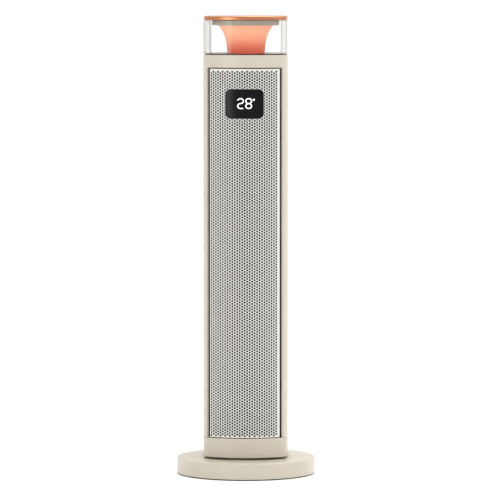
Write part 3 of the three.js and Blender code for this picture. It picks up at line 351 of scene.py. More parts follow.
def piece(name, shape, finish, body, stands_for=(), sharp=35):
    """A shown piece that rides on a body and stands for CAD nodes."""
    mesh = mesh_of(name, shape)
    mesh.shade_smooth()
    mesh.set_sharp_from_angle(angle=math.radians(sharp))
    mesh.materials.append(finish)
    made = bpy.data.objects.new(name, mesh)
    bpy.context.scene.collection.objects.link(made)
    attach(made, body)
    if stands_for:
        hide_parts(*stands_for)
    shown.append(made)
    return made


def steady_normals(made):
    """Keeps wide faces flat and lets only their rounded edges turn the light."""
    steady = made.modifiers.new("steady normals", "WEIGHTED_NORMAL")
    steady.keep_sharp = True


def soften(made, width, segments=2):
    """Rounds a piece's sharp edges."""
    bevel = made.modifiers.new("soft edges", "BEVEL")
    bevel.width = width
    bevel.segments = segments
    bevel.limit_method = "ANGLE"
    bevel.angle_limit = math.radians(38)
    bevel.harden_normals = True
    return made


# ---------------------------------------------------------------- node helpers


def add(tree, kind, settings=None, **inputs):
    """A shader node. Inputs are values or other nodes' sockets, with spaces as underscores."""
    made = tree.nodes.new("ShaderNode" + kind)
    for key, value in (settings or {}).items():
        setattr(made, key, value)
    for key, value in inputs.items():
        plug(tree, made.inputs[key.replace("_", " ")], value)
    return made


def plug(tree, socket, value):
    """Links another node's socket, or sets a plain value."""
    if isinstance(value, bpy.types.NodeSocket):
        tree.links.new(value, socket)
    else:
        socket.default_value = value


def maths(tree, operation, first, second=0.0):
    """A sum, product or other calculation on one or two values."""
    made = tree.nodes.new("ShaderNodeMath")
    made.operation = operation
    plug(tree, made.inputs[0], first)
    plug(tree, made.inputs[1], second)
    return made.outputs[0]


def spread(tree, value, low, high):
    """A value from 0 to 1 put between low and high."""
    made = add(tree, "MapRange", Value=value, To_Min=low, To_Max=high)
    return made.outputs["Result"]


def tinted(tree, colour, factor):
    """A colour made lighter or darker by a factor."""
    made = add(tree, "VectorMath", {"operation": "SCALE"})
    plug(tree, made.inputs[0], colour)
    plug(tree, made.inputs["Scale"], factor)
    return made.outputs[0]


def blended(tree, factor, first, second):
    """One colour at a factor of 0, another at 1."""
    made = tree.nodes.new("ShaderNodeMix")
    made.data_type = "RGBA"
    plug(tree, made.inputs["Factor"], factor)
    colours = [socket for socket in made.inputs if socket.type == "RGBA"]
    plug(tree, colours[0], first)
    plug(tree, colours[1], second)
    return next(socket for socket in made.outputs if socket.type == "RGBA")


def noise(tree, place, scale, detail=3.0, roughness=0.5):
    """Random values from 0 to 1, with as many features to a metre as the scale says."""
    made = add(tree, "TexNoise", Vector=place, Scale=scale, Detail=detail, Roughness=roughness)
    return made.outputs["Fac"]


def object_place(tree):
    """The place on the piece, in metres."""
    return add(tree, "TexCoord").outputs["Object"]


def new_group(name, inputs, outputs):
    """An empty node group. Its inputs are given as name: (kind, value), and its outputs as name: kind."""
    group = bpy.data.node_groups.new(name, "ShaderNodeTree")
    for socket, (kind, value) in inputs.items():
        made = group.interface.new_socket(socket, in_out="INPUT", socket_type="NodeSocket" + kind)
        made.default_value = value
    for socket, kind in outputs.items():
        group.interface.new_socket(socket, in_out="OUTPUT", socket_type="NodeSocket" + kind)
    return group, group.nodes.new("NodeGroupInput").outputs, group.nodes.new("NodeGroupOutput").inputs


def use(tree, group, **inputs):
    """A node group placed in a tree with its own values."""
    made = tree.nodes.new("ShaderNodeGroup")
    made.node_tree = group
    for key, value in inputs.items():
        plug(tree, made.inputs[key.replace("_", " ")], value)
    return made.outputs


GREY = (0.5, 0.5, 0.5, 1)


def moulded_grain():
    """Moulded or sprayed surface: fine grain, slow mottling of the colour, and uneven gloss."""
    group, given, wanted = new_group(
        "Moulded grain",
        {
            "Colour": ("Color", GREY), "Grain Scale": ("Float", 2500.0), "Mottle": ("Float", 0.02),
            "Roughness": ("Float", 0.5), "Gloss Spread": ("Float", 0.05),
        },
        {"Colour": "Color", "Roughness": "Float", "Height": "Float"},
    )
    place = object_place(group)
    fine = noise(group, place, given["Grain Scale"], 4.0, 0.6)
    slow = noise(group, place, 28.0, 3.0)
    streak = noise(group, place, 160.0, 2.0)
    both = maths(group, "ADD", maths(group, "MULTIPLY", slow, 0.7), maths(group, "MULTIPLY", fine, 0.3))
    swing = maths(group, "MULTIPLY", maths(group, "SUBTRACT", both, 0.5), given["Mottle"])
    plug(group, wanted["Colour"], tinted(group, given["Colour"], maths(group, "ADD", swing, 1.0)))
    uneven = maths(group, "MULTIPLY", maths(group, "SUBTRACT", streak, 0.5), given["Gloss Spread"])
    plug(group, wanted["Roughness"], maths(group, "ADD", given["Roughness"], uneven))
    plug(group, wanted["Height"], fine)
    return group


def brushed_lines():
    """Metal brushed along the x axis: long fine lines in colour, gloss and height."""
    group, given, wanted = new_group(
        "Brushed lines",
        {
            "Colour": ("Color", GREY), "Fineness": ("Float", 900.0), "Contrast": ("Float", 0.08),
            "Roughness": ("Float", 0.3), "Gloss Spread": ("Float", 0.12),
        },
        {"Colour": "Color", "Roughness": "Float", "Height": "Float"},
    )
    stretched = add(group, "Mapping", Vector=object_place(group), Scale=(0.02, 1.0, 1.0)).outputs[0]
    lines = noise(group, stretched, given["Fineness"], 5.0, 0.65)
    wide = noise(group, stretched, maths(group, "MULTIPLY", given["Fineness"], 0.12), 2.0)
    swing = maths(group, "SUBTRACT", maths(group, "ADD", lines, wide), 1.0)
    shade = maths(group, "ADD", maths(group, "MULTIPLY", swing, given["Contrast"]), 1.0)
    plug(group, wanted["Colour"], tinted(group, given["Colour"], shade))
    gloss = maths(group, "MULTIPLY", swing, given["Gloss Spread"])
    plug(group, wanted["Roughness"], maths(group, "ADD", given["Roughness"], gloss))
    plug(group, wanted["Height"], lines)
    return group


def edge_highlight_and_polish():
    """A colour that turns to another along sharp edges: a painted highlight on plastic, and polish on metal.
    """
    group, given, wanted = new_group(
        "Edge highlight and polish",
        {
            "Colour": ("Color", GREY), "Edge Colour": ("Color", GREY),
            "Width": ("Float", 1.4 * MM), "Amount": ("Float", 0.3),
        },
        {"Colour": "Color", "Mask": "Float"},
    )
    turned_normal = add(group, "Bevel", {"samples": 4}, Radius=given["Width"]).outputs[0]
    normal = add(group, "NewGeometry").outputs["Normal"]
    meeting = add(group, "VectorMath", {"operation": "DOT_PRODUCT"})
    plug(group, meeting.inputs[0], turned_normal)
    plug(group, meeting.inputs[1], normal)
    bend = maths(group, "SUBTRACT", 1.0, meeting.outputs["Value"])
    highlight_and_polish_breakup = noise(group, object_place(group), 420.0, 3.0)
    sharp = add(group, "MapRange", Value=bend, From_Min=0.01, From_Max=0.16).outputs["Result"]
    # The edge mask, broken up by noise: painted highlight on plastic, polish on metal.
    highlight_and_polish = maths(group, "MULTIPLY", sharp, spread(group, highlight_and_polish_breakup, 0.4, 1.0))
    mask = maths(group, "MULTIPLY", highlight_and_polish, given["Amount"])
    plug(group, wanted["Colour"], blended(group, mask, given["Colour"], given["Edge Colour"]))
    plug(group, wanted["Mask"], mask)
    return group


def settled_dust():
    """A faint film of grey dust on faces that look up, which shifts the colour and dulls the gloss."""
    group, given, wanted = new_group(
        "Settled dust",
        {"Colour": ("Color", GREY), "Roughness": ("Float", 0.5), "Amount": ("Float", 0.15)},
        {"Colour": "Color", "Roughness": "Float", "Mask": "Float"},
    )
    normal = add(group, "NewGeometry").outputs["Normal"]
    up = add(group, "SeparateXYZ", Vector=normal).outputs["Z"]
    level = add(group, "MapRange", Value=up, From_Min=0.6, From_Max=1.0).outputs["Result"]
    specks = noise(group, object_place(group), 75.0, 6.0, 0.62)
    patches = add(group, "MapRange", Value=specks, From_Min=0.42, From_Max=0.72).outputs["Result"]
    mask = maths(group, "MULTIPLY", maths(group, "MULTIPLY", level, patches), given["Amount"])
    plug(group, wanted["Colour"], blended(group, mask, given["Colour"], (0.55, 0.52, 0.47, 1)))
    dulled = maths(group, "MULTIPLY", mask, 0.4)
    plug(group, wanted["Roughness"], maths(group, "ADD", given["Roughness"], dulled))
    plug(group, wanted["Mask"], mask)
    return group


grain = moulded_grain()
brushing = brushed_lines()
edges = edge_highlight_and_polish()
dust = settled_dust()


# ---------------------------------------------------------------- finishes


def srgb(red, green, blue):
    """A colour given as screen values from 0 to 255, as linear light."""
    shares = [value / 255 for value in (red, green, blue)]
    return tuple(s / 12.92 if s <= 0.04045 else ((s + 0.055) / 1.055) ** 2.4 for s in shares) + (1.0,)


def new_finish(name, plain_colour):
    """A material with an untouched shader, and the colour that a plain viewport shows."""
    material = bpy.data.materials.new(name)
    material.use_nodes = True
    material.diffuse_color = plain_colour
    tree = material.node_tree
    return material, tree, tree.nodes["Principled BSDF"]


def wire(tree, shader, **inputs):
    """Links or sets a shader's inputs by name."""
    for key, value in inputs.items():
        plug(tree, shader.inputs[key.replace("_", " ")], value)


def bumped(tree, height, strength, distance):
    """A normal that is tipped by a height."""
    return add(tree, "Bump", Height=height, Strength=strength, Distance=distance).outputs[0]


def plastic(
    name, colour, roughness, grain_scale=2500.0, mottle=0.03, bump=0.12, film=0.12, edge=None, specular=0.5,
):
    """Moulded or painted plastic, with a film of dust and perhaps a painted highlight along its edges."""
    material, tree, shader = new_finish(name, colour)
    skin = use(tree, grain, Colour=colour, Grain_Scale=grain_scale, Mottle=mottle, Roughness=roughness)
    tone = skin["Colour"]
    # A given edge colour is a painted highlight along the sharp edges.
    if edge:
        tone = use(tree, edges, Colour=tone, Edge_Colour=edge, Amount=0.6)["Colour"]
    film_of = use(tree, dust, Colour=tone, Roughness=skin["Roughness"], Amount=film)
    wire(
        tree, shader, Base_Color=film_of["Colour"], Roughness=film_of["Roughness"],
        Normal=bumped(tree, skin["Height"], bump, 0.05 * MM), Specular_IOR_Level=specular,
    )
    return material


def metal(name, colour, roughness, fineness=900.0, contrast=0.08, metallic=1.0, edge=None, film=0.06):
    """Brushed, drawn or plated metal."""
    material, tree, shader = new_finish(name, colour)
    skin = use(tree, brushing, Colour=colour, Fineness=fineness, Contrast=contrast, Roughness=roughness)
    tone = skin["Colour"]
    if edge:
        tone = use(tree, edges, Colour=tone, Edge_Colour=edge, Amount=0.5)["Colour"]
    film_of = use(tree, dust, Colour=tone, Roughness=skin["Roughness"], Amount=film)
    wire(
        tree, shader, Base_Color=film_of["Colour"], Roughness=film_of["Roughness"], Metallic=metallic,
        Normal=bumped(tree, skin["Height"], 0.15, 0.03 * MM),
    )
    return material


CROWN_IOR = 1.015  # low, so that the thick wall stays pale where it is seen along its length


def clear_acrylic():
    """The crown's clear wall, with painted shade: greyer at its flanks and darker where it is seen edge-on.
    """
    material, tree, shader = new_finish("Clear acrylic", (0.95, 0.97, 0.96, 1))
    flow = noise(tree, object_place(tree), 60.0, 2.0)
    facing = add(tree, "LayerWeight", Blend=0.5).outputs["Facing"]
    # Painted shade: the wall turns darker where it is seen edge-on.
    painted_edge_shade = maths(tree, "POWER", facing, 2.0)
    across = add(tree, "SeparateXYZ", Vector=object_place(tree)).outputs["X"]
    # Painted shade: the side walls, seen along their length, turn grey.
    painted_flank_shade = add(
        tree, "MapRange", Value=maths(tree, "ABSOLUTE", across),
        From_Min=half_width - 8.8 * MM, From_Max=half_width - 7.8 * MM,
    ).outputs["Result"]
    body = blended(tree, flow, (0.975, 0.975, 0.97, 1), (0.99, 0.99, 0.985, 1))
    body = blended(tree, painted_flank_shade, body, (0.72, 0.71, 0.69, 1))
    wire(
        tree, shader, Base_Color=blended(tree, painted_edge_shade, body, (0.3, 0.3, 0.29, 1)),
        Roughness=spread(tree, flow, 0.002, 0.01), IOR=CROWN_IOR, Transmission_Weight=1.0,
        Coat_Weight=0.25, Coat_Roughness=0.06, Coat_IOR=1.4,
        Normal=bumped(tree, flow, 0.01, 0.02 * MM),
    )
    return material


def painted_glow_funnel():
    """Peach plastic with a painted glow: its colour and its glow are deeper low down and paler towards its
    top, and a painted highlight makes the glow paler towards its edges.
    """
    material, tree, shader = new_finish("Painted glow funnel", srgb(244, 165, 126))
    place = object_place(tree)
    height = add(tree, "SeparateXYZ", Vector=place).outputs["Z"]
    rise = add(
        tree, "MapRange", {"interpolation_type": "SMOOTHSTEP"},
        Value=height, From_Min=funnel_bottom, From_Max=funnel_bottom + 0.8 * (funnel_top - funnel_bottom),
    ).outputs["Result"]
    painted_glow_clouds = spread(tree, noise(tree, place, 45.0, 2.0), 0.94, 1.06)
    # Painted glow: red low down and peach higher up; the base colour below follows the same painted glow.
    lit = blended(tree, rise, srgb(216, 66, 42), srgb(240, 154, 118))
    body = blended(tree, rise, srgb(210, 98, 68), srgb(236, 166, 132))
    skin = use(tree, grain, Colour=body, Grain_Scale=1800.0, Mottle=0.03, Roughness=0.55)
    # Painted highlight: the glow turns paler where the funnel is seen edge-on.
    rim = maths(tree, "MULTIPLY", add(tree, "LayerWeight", Blend=0.45).outputs["Facing"], 0.45)
    lit = blended(tree, rim, lit, srgb(248, 190, 158))
    # The funnel is no lamp: its emission is painted glow.
    wire(
        tree, shader, Base_Color=skin["Colour"], Roughness=skin["Roughness"], IOR=1.45,
        Emission_Color=tinted(tree, lit, painted_glow_clouds), Emission_Strength=0.31,
        Normal=bumped(tree, skin["Height"], 0.06, 0.05 * MM),
    )
    return material


def black_glass():
    """Near-black glass with a faint smear in its gloss."""
    material, tree, shader = new_finish("Black glass", srgb(20, 20, 21))
    place = object_place(tree)
    smear = noise(tree, place, 55.0, 5.0, 0.6)
    tone = blended(tree, smear, srgb(9, 9, 9), srgb(15, 15, 15))
    film_of = use(tree, dust, Colour=tone, Roughness=spread(tree, smear, 0.2, 0.26), Amount=0.02)
    wire(
        tree, shader, Base_Color=film_of["Colour"], Roughness=film_of["Roughness"], IOR=1.5,
        Specular_IOR_Level=0.11, Normal=bumped(tree, smear, 0.02, 0.1 * MM),
    )
    return material


def lit_digits():
    """White segments that give light, with a faint uneven blue."""
    material, tree, shader = new_finish("Lit digits", (1, 1, 1, 1))
    spots = noise(tree, object_place(tree), 900.0, 2.0)
    lit = blended(tree, spots, (0.86, 0.93, 1.0, 1), (1.0, 1.0, 1.0, 1))
    wire(
        tree, shader, Base_Color=(0.8, 0.82, 0.85, 1), Roughness=spread(tree, spots, 0.3, 0.5),
        Emission_Color=lit, Emission_Strength=0.9,
    )
    return material


def printed_marks():
    """Pale ink on the touch panel."""
    material, tree, shader = new_finish("Printed marks", srgb(214, 214, 210))
    skin = use(tree, grain, Colour=srgb(214, 214, 210), Grain_Scale=3000.0, Mottle=0.08, Roughness=0.5)
    wire(tree, shader, Base_Color=skin["Colour"], Roughness=skin["Roughness"])
    return material


def gauze(name, thread, gap, lint_share):
    """Dark woven gauze: crossed threads in colour and height, with some lint caught in them."""
    material, tree, shader = new_finish(name, thread)
    place = add(tree, "SeparateXYZ", Vector=object_place(tree)).outputs
    threads = 2 * math.pi / (1.1 * MM)
    across = maths(tree, "SINE", maths(tree, "MULTIPLY", place["X"], threads))
    up = maths(tree, "SINE", maths(tree, "MULTIPLY", place["Z"], threads))
    weave = maths(tree, "ABSOLUTE", maths(tree, "MULTIPLY", across, up))
    lint = noise(tree, object_place(tree), 120.0, 5.0, 0.6)
    tone = blended(tree, weave, thread, gap)
    caught = spread(tree, lint, 0.0, lint_share)
    wire(
        tree, shader, Base_Color=blended(tree, caught, tone, srgb(120, 116, 108)), Specular_IOR_Level=0.2,
        Roughness=spread(tree, lint, 0.75, 0.95), Normal=bumped(tree, weave, 0.8, 0.3 * MM),
    )
    return material


def circuit_board():
    """Green solder mask over copper tracks, with tinned pads."""
    material, tree, shader = new_finish("Circuit board", srgb(28, 88, 56))
    place = object_place(tree)
    tracks = add(
        tree, "TexBrick", Vector=place, Scale=220.0, Mortar_Size=0.02,
        Color1=(0, 0, 0, 1), Color2=(0, 0, 0, 1), Mortar=(1, 1, 1, 1),
    ).outputs["Fac"]
    cells = add(tree, "TexVoronoi", Vector=place, Scale=260.0).outputs["Distance"]
    pads = add(tree, "MapRange", Value=cells, From_Min=0.2, From_Max=0.16).outputs["Result"]
    mask = blended(tree, tracks, srgb(24, 80, 50), srgb(44, 112, 70))
    tone = blended(tree, pads, mask, srgb(196, 196, 190))
    wire(
        tree, shader, Base_Color=tone, Metallic=pads, Roughness=spread(tree, pads, 0.42, 0.25),
        Normal=bumped(tree, tracks, 0.3, 0.05 * MM),
    )
    return material


def cast_iron():
    """Sand-cast iron with patches of rust."""
    material, tree, shader = new_finish("Cast iron", srgb(66, 67, 69))
    place = object_place(tree)
    sand = noise(tree, place, 900.0, 6.0, 0.7)
    patches = noise(tree, place, 60.0, 5.0)
    rust = add(tree, "MapRange", Value=patches, From_Min=0.55, From_Max=0.75).outputs["Result"]
    stain = maths(tree, "MULTIPLY", rust, 0.5)
    wire(
        tree, shader, Base_Color=blended(tree, stain, srgb(62, 63, 65), srgb(92, 70, 56)),
        Metallic=spread(tree, rust, 0.8, 0.2), Roughness=spread(tree, sand, 0.6, 0.85),
        Normal=bumped(tree, sand, 0.7, 0.25 * MM),
    )
    return material


def floor_finish():
    """Matt white paper."""
    material, tree, shader = new_finish("Pale floor", (0.93, 0.93, 0.93, 1))
    skin = use(tree, grain, Colour=(0.94, 0.94, 0.94, 1), Grain_Scale=400.0, Mottle=0.004, Roughness=0.75)
    wire(tree, shader, Base_Color=skin["Colour"], Roughness=skin["Roughness"], Specular_IOR_Level=0.15)
    return material


finishes = {
    # The shell's pale edge colour is a painted highlight along its rounded edges, such as the collar's lip.
    "shell": plastic(
        "Satin shell", srgb(184, 176, 160), 0.34, mottle=0.02, bump=0.03, film=0.02, edge=srgb(244, 241, 232),
    ),
    "grille": plastic("Powder coat", srgb(202, 201, 196), 0.4, 1600.0, 0.04, 0.3, film=0.05),
    "copper": metal(
        "Copper lid", srgb(178, 120, 86), 0.3, contrast=0.06, metallic=0.9, edge=srgb(232, 170, 132),
    ),
    "clear": clear_acrylic(),
    "funnel": painted_glow_funnel(),
    "black_glass": black_glass(),
    "digits": lit_digits(),
    "marks": printed_marks(),
    "grey": plastic("Grey plastic", srgb(168, 161, 148), 0.5),
    # The dark plastic's paler edge colour is a painted highlight.
    "dark": plastic("Dark plastic", srgb(44, 42, 40), 0.55, mottle=0.08, edge=srgb(78, 75, 72)),
    "deck": plastic("Brown deck", srgb(70, 54, 44), 0.5, mottle=0.06),
    "white": plastic("White plastic", srgb(228, 225, 217), 0.45),
    "rubber": plastic("Black rubber", srgb(30, 30, 30), 0.82, 1200.0, 0.15, 0.5, film=0.3, specular=0.3),
    "steel": metal("Zinc-plated steel", srgb(188, 191, 196), 0.3, edge=srgb(222, 224, 228)),
    "cast_iron": cast_iron(),
    "aluminium": metal("Aluminium fin", srgb(202, 205, 209), 0.36, 1400.0, 0.1),
    "ceramic": plastic("Fired ceramic", srgb(226, 222, 212), 0.7, 1800.0, 0.08, 0.35),
    "board": circuit_board(),
    "gauze": gauze("Filter gauze", srgb(74, 74, 73), srgb(20, 20, 21), 0.25),
    # A near-black sheet behind the grille, painting the shade seen through its holes.
    "shade_lining": gauze("Grille shade lining", srgb(18, 18, 18), srgb(8, 8, 8), 0.01),
}


# ---------------------------------------------------------------- camera, light and floor

CAMERA_DISTANCE = 5.964
CAMERA_HEIGHT = 0.734
CAMERA_TILT = 3.884  # degrees, downwards
CAMERA_SIDE = 2.2  # degrees round to the right of the front
CAMERA_LENS = 303  # mm
CAMERA_SENSOR = 36  # mm

FLOOR_RADIUS = 120
FRONT_LIGHT = 0.5  # strength of the world's light from in front
BACK_LIGHT = 1.08  # and from behind
SKY_LIGHT = 0.7  # added from straight above
SIDE_LIGHT = 0.08  # added from the right, and taken away at the left
SOFT_BOXES = {  # name: place, aim, width, height, power
    "key": ((2.9, -1.1, 1.9), (0, 0, 0.35), 1.6, 1.6, 20),
    "top": ((0.25, 0.1, 2.2), (0, 0, 0), 0.9, 0.9, 15),
    "strip": ((-1.5, -2.6, 0.7), (0, 0, 0.5), 0.5, 1.5, 17),
}


def make_camera():
    """A long lens, a little above the column's top and looking slightly down."""
    data = bpy.data.cameras.new("studio camera")
    data.lens = CAMERA_LENS
    data.sensor_width = CAMERA_SENSOR
    data.clip_end = 40
    camera = bpy.data.objects.new("studio camera", data)
    side = math.radians(CAMERA_SIDE)
    camera.location = (CAMERA_DISTANCE * math.sin(side), -CAMERA_DISTANCE * math.cos(side), CAMERA_HEIGHT)
    camera.rotation_euler = (math.pi / 2 - math.radians(CAMERA_TILT), 0, side)
    bpy.context.scene.collection.objects.link(camera)
    bpy.context.scene.camera = camera


def make_soft_box(name, place, aim, width, height, power):
    """A wide lamp that faces the place it is aimed at."""
    data = bpy.data.lights.new(name, "AREA")
    data.shape = "RECTANGLE"
    data.size = width
    data.size_y = height
    data.energy = power
    light = bpy.data.objects.new(name, data)
    light.location = place
    light.rotation_euler = (Vector(aim) - Vector(place)).to_track_quat("-Z", "Y").to_euler()
    bpy.context.scene.collection.objects.link(light)


def make_world():
    """Soft light from all round: brightest from above and behind, dimmer from the front."""
    world = bpy.data.worlds.new("white studio")
    bpy.context.scene.world = world
    world.use_nodes = True
    tree = world.node_tree
    axes = add(tree, "SeparateXYZ", Vector=add(tree, "TexCoord").outputs["Generated"]).outputs
    behind = add(
        tree, "MapRange", Value=axes["Y"], From_Min=-1.0, From_Max=0.1, To_Min=FRONT_LIGHT, To_Max=BACK_LIGHT,
    )
    above = add(tree, "MapRange", Value=axes["Z"], From_Min=0.25, From_Max=1.0, To_Min=0.0, To_Max=SKY_LIGHT)
    side = maths(tree, "MULTIPLY", axes["X"], SIDE_LIGHT)
    total = maths(tree, "ADD", maths(tree, "ADD", behind.outputs["Result"], above.outputs["Result"]), side)
    background = tree.nodes["Background"]
    plug(tree, background.inputs["Color"], (1.0, 1.0, 1.0, 1.0))
    plug(tree, background.inputs["Strength"], total)


def make_studio():
    """White surroundings, three soft lamps, and a pale floor wide enough to hide its edge."""
    make_world()
    for name, settings in SOFT_BOXES.items():
        make_soft_box(name, *settings)
    floor_mesh = mesh_of("floor", (ring(circle(FLOOR_RADIUS), 0), [tuple(range(WIDE_SIDES))]))
    floor_mesh.materials.append(floor_finish())
    floor = bpy.data.objects.new("floor", floor_mesh)
    bpy.context.scene.collection.objects.link(floor)
    bpy.context.scene.view_settings.view_transform = "Standard"


# ---------------------------------------------------------------- base and swivel

FLANGE_THICK = 2.2 * MM
GLAND_STEM = 6 * MM
TREAD_GROOVE = 0.35 * MM
TREAD_EDGES = (0.08, 0.1, 0.2, 0.22, 0.34, 0.36, 0.48)  # the grooves' edges, as shares of a foot's radius
SCREW_HEAD = 1.3 * MM
SCREW_SHANK = 1.5 * MM
SCREW_LENGTH = 12 * MM
FEET = 4
BASE_SCREWS = 3
HOUSING_SCREWS = 4


def make_base_cover():
    """The round cover, with a groove for the glide ring and a boss that holds the cord gland."""
    under = base_top - BASE_WALL
    wall_back = base_radius - BASE_WALL
    groove_outer = span("glide_ring", X)[1] + FIT
    groove_inner = groove_outer - 7.6 * MM
    groove_floor = base_top - 1.4 * MM
    well = 28 * MM  # radius of the hole for the swivel
    shell = turned([
        (base_radius, base_bottom, 1.2 * MM),
        (base_radius, base_top, 2.6 * MM),
        (groove_outer, base_top, 0.3 * MM),
        (groove_outer, groove_floor, 0),
        (groove_inner, groove_floor, 0),
        (groove_inner, base_top, 0.3 * MM),
        (well, base_top, 0.5 * MM),
        (well, under, 0.3 * MM),
        (wall_back, under, 2 * MM),
        (wall_back, base_bottom, 0.3 * MM),
    ])
    flange = span("cord_gland", X)[1] + FIT
    flange_face = span("cord_gland", Y)[1] - FLANGE_THICK - FIT
    stem = GLAND_STEM + FIT
    boss_half = 12 * MM
    boss = block(
        -boss_half, boss_half, wall_back - 9 * MM, wall_back + 0.6 * MM,
        base_bottom + 2.8 * MM, under + 0.5 * MM,
    )
    solid = combined(
        "DIFFERENCE", combined("UNION", shell, boss),
        rod_along_y(flange, flange_face, base_radius + 5 * MM, z=gland_z),
        rod_along_y(stem, wall_back - 20 * MM, base_radius, z=gland_z),
    )
    piece("base_cover_shell", solid, finishes["shell"], "base", ["base_cover"])


def make_cord_gland():
    """A rubber bush with a flange outside the base, turned upright and laid down."""
    inner, outer = span("cord_gland", Y)
    flange = span("cord_gland", X)[1]
    bore = 3.8 * MM
    upright = turned([
        (bore, -outer, 0.5 * MM),
        (flange, -outer, 0.7 * MM),
        (flange, -outer + FLANGE_THICK, 0.2 * MM),
        (GLAND_STEM, -outer + FLANGE_THICK, 0),
        (GLAND_STEM, -inner, 0.4 * MM),
        (bore, -inner, 0.3 * MM),
    ], SMALL_SIDES)
    bush = shifted(lying(upright), z=gland_z)
    piece("cord_gland_bush", bush, finishes["rubber"], "base", ["cord_gland"])


def make_foot(node):
    """A rubber foot with round grooves in its sole."""
    (left, near, bottom), (right, far, top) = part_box(node)
    radius = (right - left) / 2
    side = filleted([
        (0.5 * radius, bottom, 0), (radius, bottom, 0.9 * MM),
        (radius, top, 0.2 * MM), (0.5 * radius, top, 0),
    ])
    depths = [TREAD_GROOVE if i % 2 else 0 for i in range(len(TREAD_EDGES))]
    sole = [(share * radius, bottom + depth) for share, depth in zip(TREAD_EDGES, depths)]
    foot = turned_disc(sole + [tuple(point) for point in side[1:]])
    foot = shifted(foot, x=(left + right) / 2, y=(near + far) / 2)
    piece(node + "_tread", foot, finishes["rubber"], "base", [node])


def screw_shape(head_radius, head_height, shank_radius, length):
    """A pan-head screw with a cross recess, its head's top at z = 0 and its shank going up."""
    dome = [(head_radius * s, head_height * 0.35 * s ** 3) for s in (0.25, 0.5, 0.7, 0.85, 0.95, 1.0)]
    profile = dome + [
        (head_radius, head_height), (shank_radius, head_height), (shank_radius, length - shank_radius),
        (0.3 * shank_radius, length),
    ]
    body = turned_disc(profile)
    arm = 0.62 * head_radius
    thin = 0.13 * head_radius
    deep = 0.75 * head_height
    tools = [
        block(-arm, arm, -thin, thin, -head_height, deep),
        block(-thin, thin, -arm, arm, -head_height, deep),
    ]
    return combined("DIFFERENCE", body, *tools)


def make_screws():
    """Three screws up into the base and four into the column's back, each stopped at its own turn."""
    near, far = span("base_screw_1", Y)
    shape = screw_shape((far - near) / 2, SCREW_HEAD, SCREW_SHANK, SCREW_LENGTH)
    for i in range(1, BASE_SCREWS + 1):
        node = f"base_screw_{i}"
        middle = middle_of(node)
        sunk = Matrix.Translation((middle.x, middle.y, span(node, Z)[0]))
        spot = sunk @ Matrix.Rotation(0.7 * i, 4, "Z")
        piece(node + "_cross", placed(shape, spot), finishes["steel"], "base", [node])
    for i in range(1, HOUSING_SCREWS + 1):
        node = f"housing_screw_{i}"
        middle = middle_of(node)
        laid = Matrix.Rotation(math.pi / 2, 4, "X") @ Matrix.Rotation(0.9 * i, 4, "Z")
        spot = Matrix.Translation((middle.x, span(node, Y)[1], middle.z)) @ laid
        piece(node + "_cross", placed(shape, spot), finishes["steel"], "column", [node])


def make_collar():
    """The band at the column's foot, with a floor that the swing motor's shaft passes through."""
    floor_bottom = span("turntable", Z)[1] + FIT
    floor_top = floor_bottom + 2.4 * MM
    hole = 8.5 * MM
    shaft_hole = 2.8 * MM
    past = 5 * MM
    rings = column_rings([
        (SHELL_WALL, collar_bottom, 0.3 * MM), (0, collar_bottom, 0.9 * MM), (0, collar_top, 1.6 * MM),
        (SHELL_WALL, collar_top, 0.3 * MM),
    ])
    rings += [ring(outline(SHELL_WALL), floor_top), ring(spokes(hole), floor_top)]
    rings += [ring(spokes(hole), floor_bottom), ring(outline(SHELL_WALL), floor_bottom)]
    shaft = turned_disc([(shaft_hole, floor_bottom - past), (shaft_hole, floor_top + past)])
    solid = combined("DIFFERENCE", loft(rings), shifted(shaft, y=shaft_y))
    piece("bottom_collar_shell", solid, finishes["shell"], "column", ["bottom_collar"])


# ---------------------------------------------------------------- column shells


def front_opening():
    """The room that is cut out of the front: chamfered at its sides, sloping at its top."""
    edge_y = reach(OPENING_HALF)
    wide = OPENING_HALF + OPENING_TAPER / OPENING_CHAMFER * (BEYOND - edge_y)
    narrow = OPENING_HALF - OPENING_TAPER
    turn_in = -edge_y + OPENING_CHAMFER
    right = [(wide, -BEYOND), (narrow, turn_in), (narrow, 0)]
    plan = [(-wide, -BEYOND), *right, (-narrow, 0), (-narrow, turn_in)]
    over = 5 * MM
    slope = HEADER_SLOPE / OPENING_REVEAL
    ceiling = [
        (-over, 0), (-over, OPENING_TOP + slope * over),
        (2 * over, OPENING_TOP - slope * 2 * over), (2 * over, 0),
    ]
    headroom = loft([ring(outline(inset), z) for inset, z in ceiling])
    return combined("INTERSECT", prism(plan, shell_bottom - over, shell_top), headroom)


def make_front_frame():
    """The front shell, thickened into a lip round the grille's opening."""
    edge_y = reach(OPENING_HALF)
    lip_outer = 0.25 * MM
    lip_inner = 9 * MM
    lip_band = 4 * MM
    inner_half = OPENING_HALF - OPENING_TAPER - 0.5 * MM
    outer_half = OPENING_HALF + lip_band
    band_top = OPENING_TOP + lip_band
    reveal_back = -edge_y + OPENING_REVEAL
    header = combined(
        "INTERSECT", column_wall(lip_outer, lip_inner, OPENING_TOP - 3 * MM, band_top),
        block(-outer_half, outer_half, -BEYOND, reveal_back, 0, ABOVE),
    )
    sides = [
        combined(
            "INTERSECT", column_wall(lip_outer, lip_inner, shell_bottom, band_top),
            block(left, right, -edge_y - 6 * MM, reveal_back, 0, ABOVE),
        )
        for left, right in ((-outer_half, -inner_half), (inner_half, outer_half))
    ]
    solid = combined("UNION", column_wall(0, SHELL_WALL, shell_bottom, shell_top), header, *sides)
    front = block(-2 * BEYOND, 2 * BEYOND, -2 * BEYOND, shell_split, 0, ABOVE)
    solid = combined("DIFFERENCE", combined("INTERSECT", solid, front), front_opening())
    made = piece("front_frame_shell", solid, finishes["shell"], "column", ["front_frame"])
    soften(made, 0.5 * MM)


